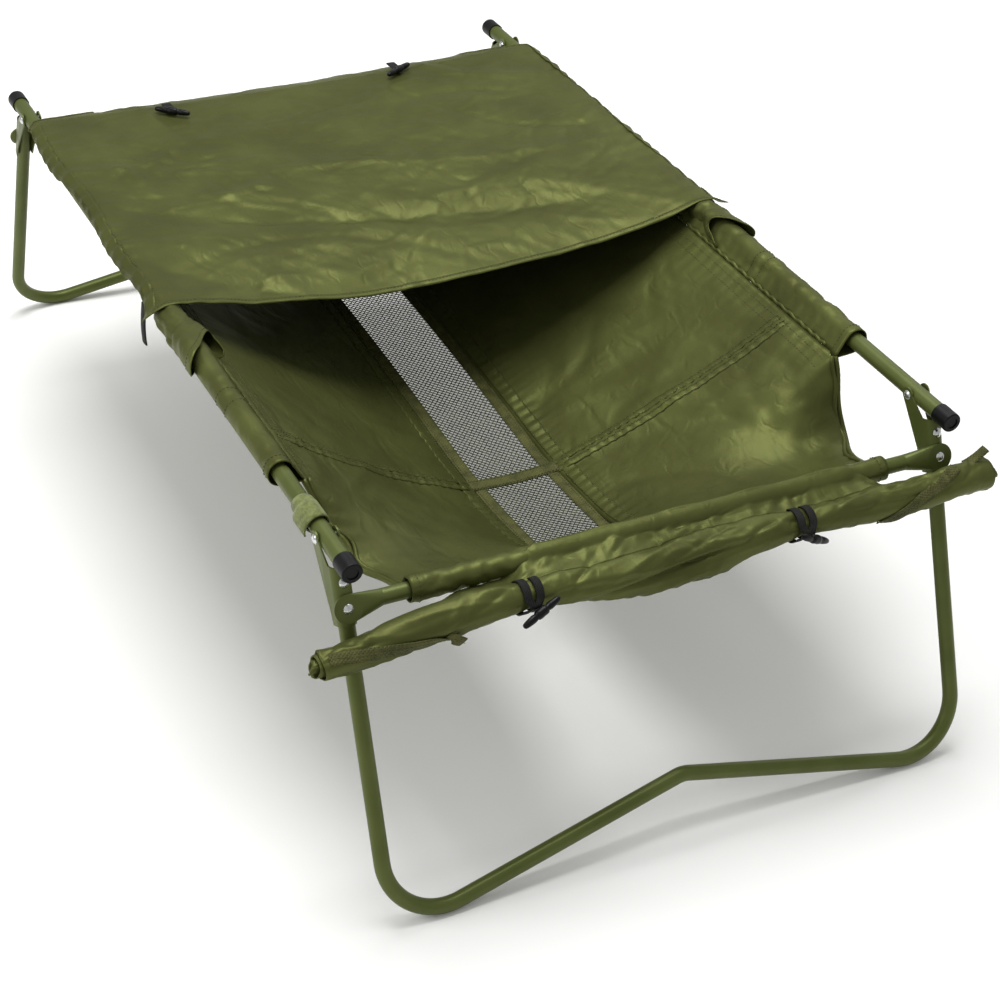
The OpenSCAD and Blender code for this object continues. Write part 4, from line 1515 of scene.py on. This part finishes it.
def build_stage():
    """A pale floor, three soft lamps, a bright surround and the camera."""
    pale = bpy.data.materials.new("pale matt floor")
    pale.use_nodes = True
    shader = pale.node_tree.nodes["Principled BSDF"]
    shader.inputs["Base Color"].default_value = linear("f6f6f4")
    shader.inputs["Roughness"].default_value = 0.9
    half = FLOOR_SIZE / 2
    corners = [(-half, -half, 0), (half, -half, 0), (half, half, 0), (-half, half, 0)]
    mesh = bpy.data.meshes.new("floor")
    mesh.from_pydata(corners, [], [(0, 1, 2, 3)])
    mesh.materials.append(pale)
    floor = bpy.data.objects.new("floor", mesh)
    bpy.context.scene.collection.objects.link(floor)
    for name, spot, width, power in LAMPS:
        light = bpy.data.lights.new(name, "AREA")
        light.size = width
        light.energy = power
        lamp = bpy.data.objects.new(name, light)
        aim = (LAMP_AIM - Vector(spot)).to_track_quat("-Z", "Y")
        lamp.matrix_world = Matrix.Translation(spot) @ aim.to_matrix().to_4x4()
        bpy.context.scene.collection.objects.link(lamp)
    world = bpy.data.worlds.new("bright studio")
    world.use_nodes = True
    backdrop = world.node_tree.nodes["Background"]
    backdrop.inputs["Color"].default_value = (1, 1, 1, 1)
    backdrop.inputs["Strength"].default_value = 0.55
    bpy.context.scene.world = world
    bpy.context.scene.view_settings.view_transform = "Standard"
    camera = bpy.data.objects.new("camera", bpy.data.cameras.new("camera"))
    camera.data.lens = CAMERA_LENS
    camera.data.sensor_width = 36
    az, el, roll = (CAMERA_TURN[k] for k in ("azimuth", "elevation", "roll"))
    back = np.array([math.sin(az) * math.cos(el), -math.cos(az) * math.cos(el), math.sin(el)])
    right = np.cross([0, 0, 1], back)
    right /= np.linalg.norm(right)
    up = np.cross(back, right)
    across = math.cos(roll) * right + math.sin(roll) * up
    upright = -math.sin(roll) * right + math.cos(roll) * up
    matrix = np.eye(4)
    matrix[:3] = np.stack([across, upright, back, CAMERA_PLACE], 1)
    camera.matrix_world = Matrix(matrix.tolist())
    bpy.context.scene.collection.objects.link(camera)
    bpy.context.scene.camera = camera


# ---------------------------------------------------------------- operators


class COT_OT_side_panels(bpy.types.Operator):
    """Hang the two side panels of the tub"""

    bl_idname = "cot.side_panels"
    bl_label = "Side panels"

    def execute(self, context):
        build_side_panels()
        return {"FINISHED"}


class COT_OT_panel_seams(bpy.types.Operator):
    """Sew the seams, hems and bound edges of the panels"""

    bl_idname = "cot.panel_seams"
    bl_label = "Panel seams"

    def execute(self, context):
        build_panel_seams()
        return {"FINISHED"}


class COT_OT_mesh_floor(bpy.types.Operator):
    """Knit the net and lay its tapes and webbings"""

    bl_idname = "cot.mesh_floor"
    bl_label = "Mesh floor"

    def execute(self, context):
        build_mesh_floor()
        return {"FINISHED"}


class COT_OT_rail_sleeves(bpy.types.Operator):
    """Wrap the sleeves round the side rails"""

    bl_idname = "cot.rail_sleeves"
    bl_label = "Rail sleeves"

    def execute(self, context):
        build_rail_sleeves()
        return {"FINISHED"}


class COT_OT_cover_cuffs(bpy.types.Operator):
    """Put the far cover's cuffs on the rail sleeves"""

    bl_idname = "cot.cover_cuffs"
    bl_label = "Cover cuffs"

    def execute(self, context):
        build_cover_cuffs()
        return {"FINISHED"}


class COT_OT_crossbar_sleeves(bpy.types.Operator):
    """Wrap the sleeves round the crossbars"""

    bl_idname = "cot.crossbar_sleeves"
    bl_label = "Crossbar sleeves"

    def execute(self, context):
        build_crossbar_sleeves()
        return {"FINISHED"}


class COT_OT_far_cover(bpy.types.Operator):
    """Drape the far cover with its hems and stitches"""

    bl_idname = "cot.far_cover"
    bl_label = "Far cover"

    def execute(self, context):
        build_far_cover()
        return {"FINISHED"}


class COT_OT_rolled_cover(bpy.types.Operator):
    """Roll up the near cover"""

    bl_idname = "cot.rolled_cover"
    bl_label = "Rolled cover"

    def execute(self, context):
        build_rolled_cover()
        return {"FINISHED"}


class COT_OT_ties(bpy.types.Operator):
    """Tie the rolled cover with elastic loops and toggles"""

    bl_idname = "cot.ties"
    bl_label = "Ties"

    def execute(self, context):
        build_ties()
        return {"FINISHED"}


class COT_OT_far_toggles(bpy.types.Operator):
    """Lay the far cover's toggles and tapes"""

    bl_idname = "cot.far_toggles"
    bl_label = "Far toggles"

    def execute(self, context):
        build_far_toggles()
        return {"FINISHED"}


class COT_OT_strap_and_tab(bpy.types.Operator):
    """Wrap the rail strap and hang the side tab"""

    bl_idname = "cot.strap_and_tab"
    bl_label = "Strap and tab"

    def execute(self, context):
        build_strap_and_tab()
        return {"FINISHED"}


class COT_OT_frame_finish(bpy.types.Operator):
    """Paint the tubes, brackets, caps and rivets"""

    bl_idname = "cot.frame_finish"
    bl_label = "Frame finish"

    def execute(self, context):
        finish_frame()
        return {"FINISHED"}


class COT_OT_stage(bpy.types.Operator):
    """Set the floor, the lights and the camera"""

    bl_idname = "cot.stage"
    bl_label = "Stage"

    def execute(self, context):
        build_stage()
        return {"FINISHED"}


OPERATORS = [
    COT_OT_side_panels,
    COT_OT_panel_seams,
    COT_OT_mesh_floor,
    COT_OT_rail_sleeves,
    COT_OT_cover_cuffs,
    COT_OT_crossbar_sleeves,
    COT_OT_far_cover,
    COT_OT_rolled_cover,
    COT_OT_ties,
    COT_OT_far_toggles,
    COT_OT_strap_and_tab,
    COT_OT_frame_finish,
    COT_OT_stage,
]


class COT_PT_panel(bpy.types.Panel):
    """Lists the cot's pieces and settings."""

    bl_label = "Folding cradle cot"
    bl_idname = "COT_PT_panel"
    bl_space_type = "VIEW_3D"
    bl_region_type = "UI"
    bl_category = "Cot"

    def draw(self, context):
        """The settings, then a button for each piece."""
        for key in CotSettings.__annotations__:
            self.layout.prop(context.scene.cot_settings, key)
        for item in OPERATORS:
            self.layout.operator(item.bl_idname)


CLASSES = [CotSettings, *OPERATORS, COT_PT_panel]


def register():
    for item in CLASSES:
        bpy.utils.register_class(item)
    bpy.types.Scene.cot_settings = bpy.props.PointerProperty(type=CotSettings)


def unregister():
    del bpy.types.Scene.cot_settings
    for item in reversed(CLASSES):
        bpy.utils.unregister_class(item)


def main():
    """Builds every piece and the stage."""
    register()
    for item in OPERATORS:
        getattr(bpy.ops.cot, item.bl_idname.split(".")[1])()


if __name__ == "__main__":
    main()
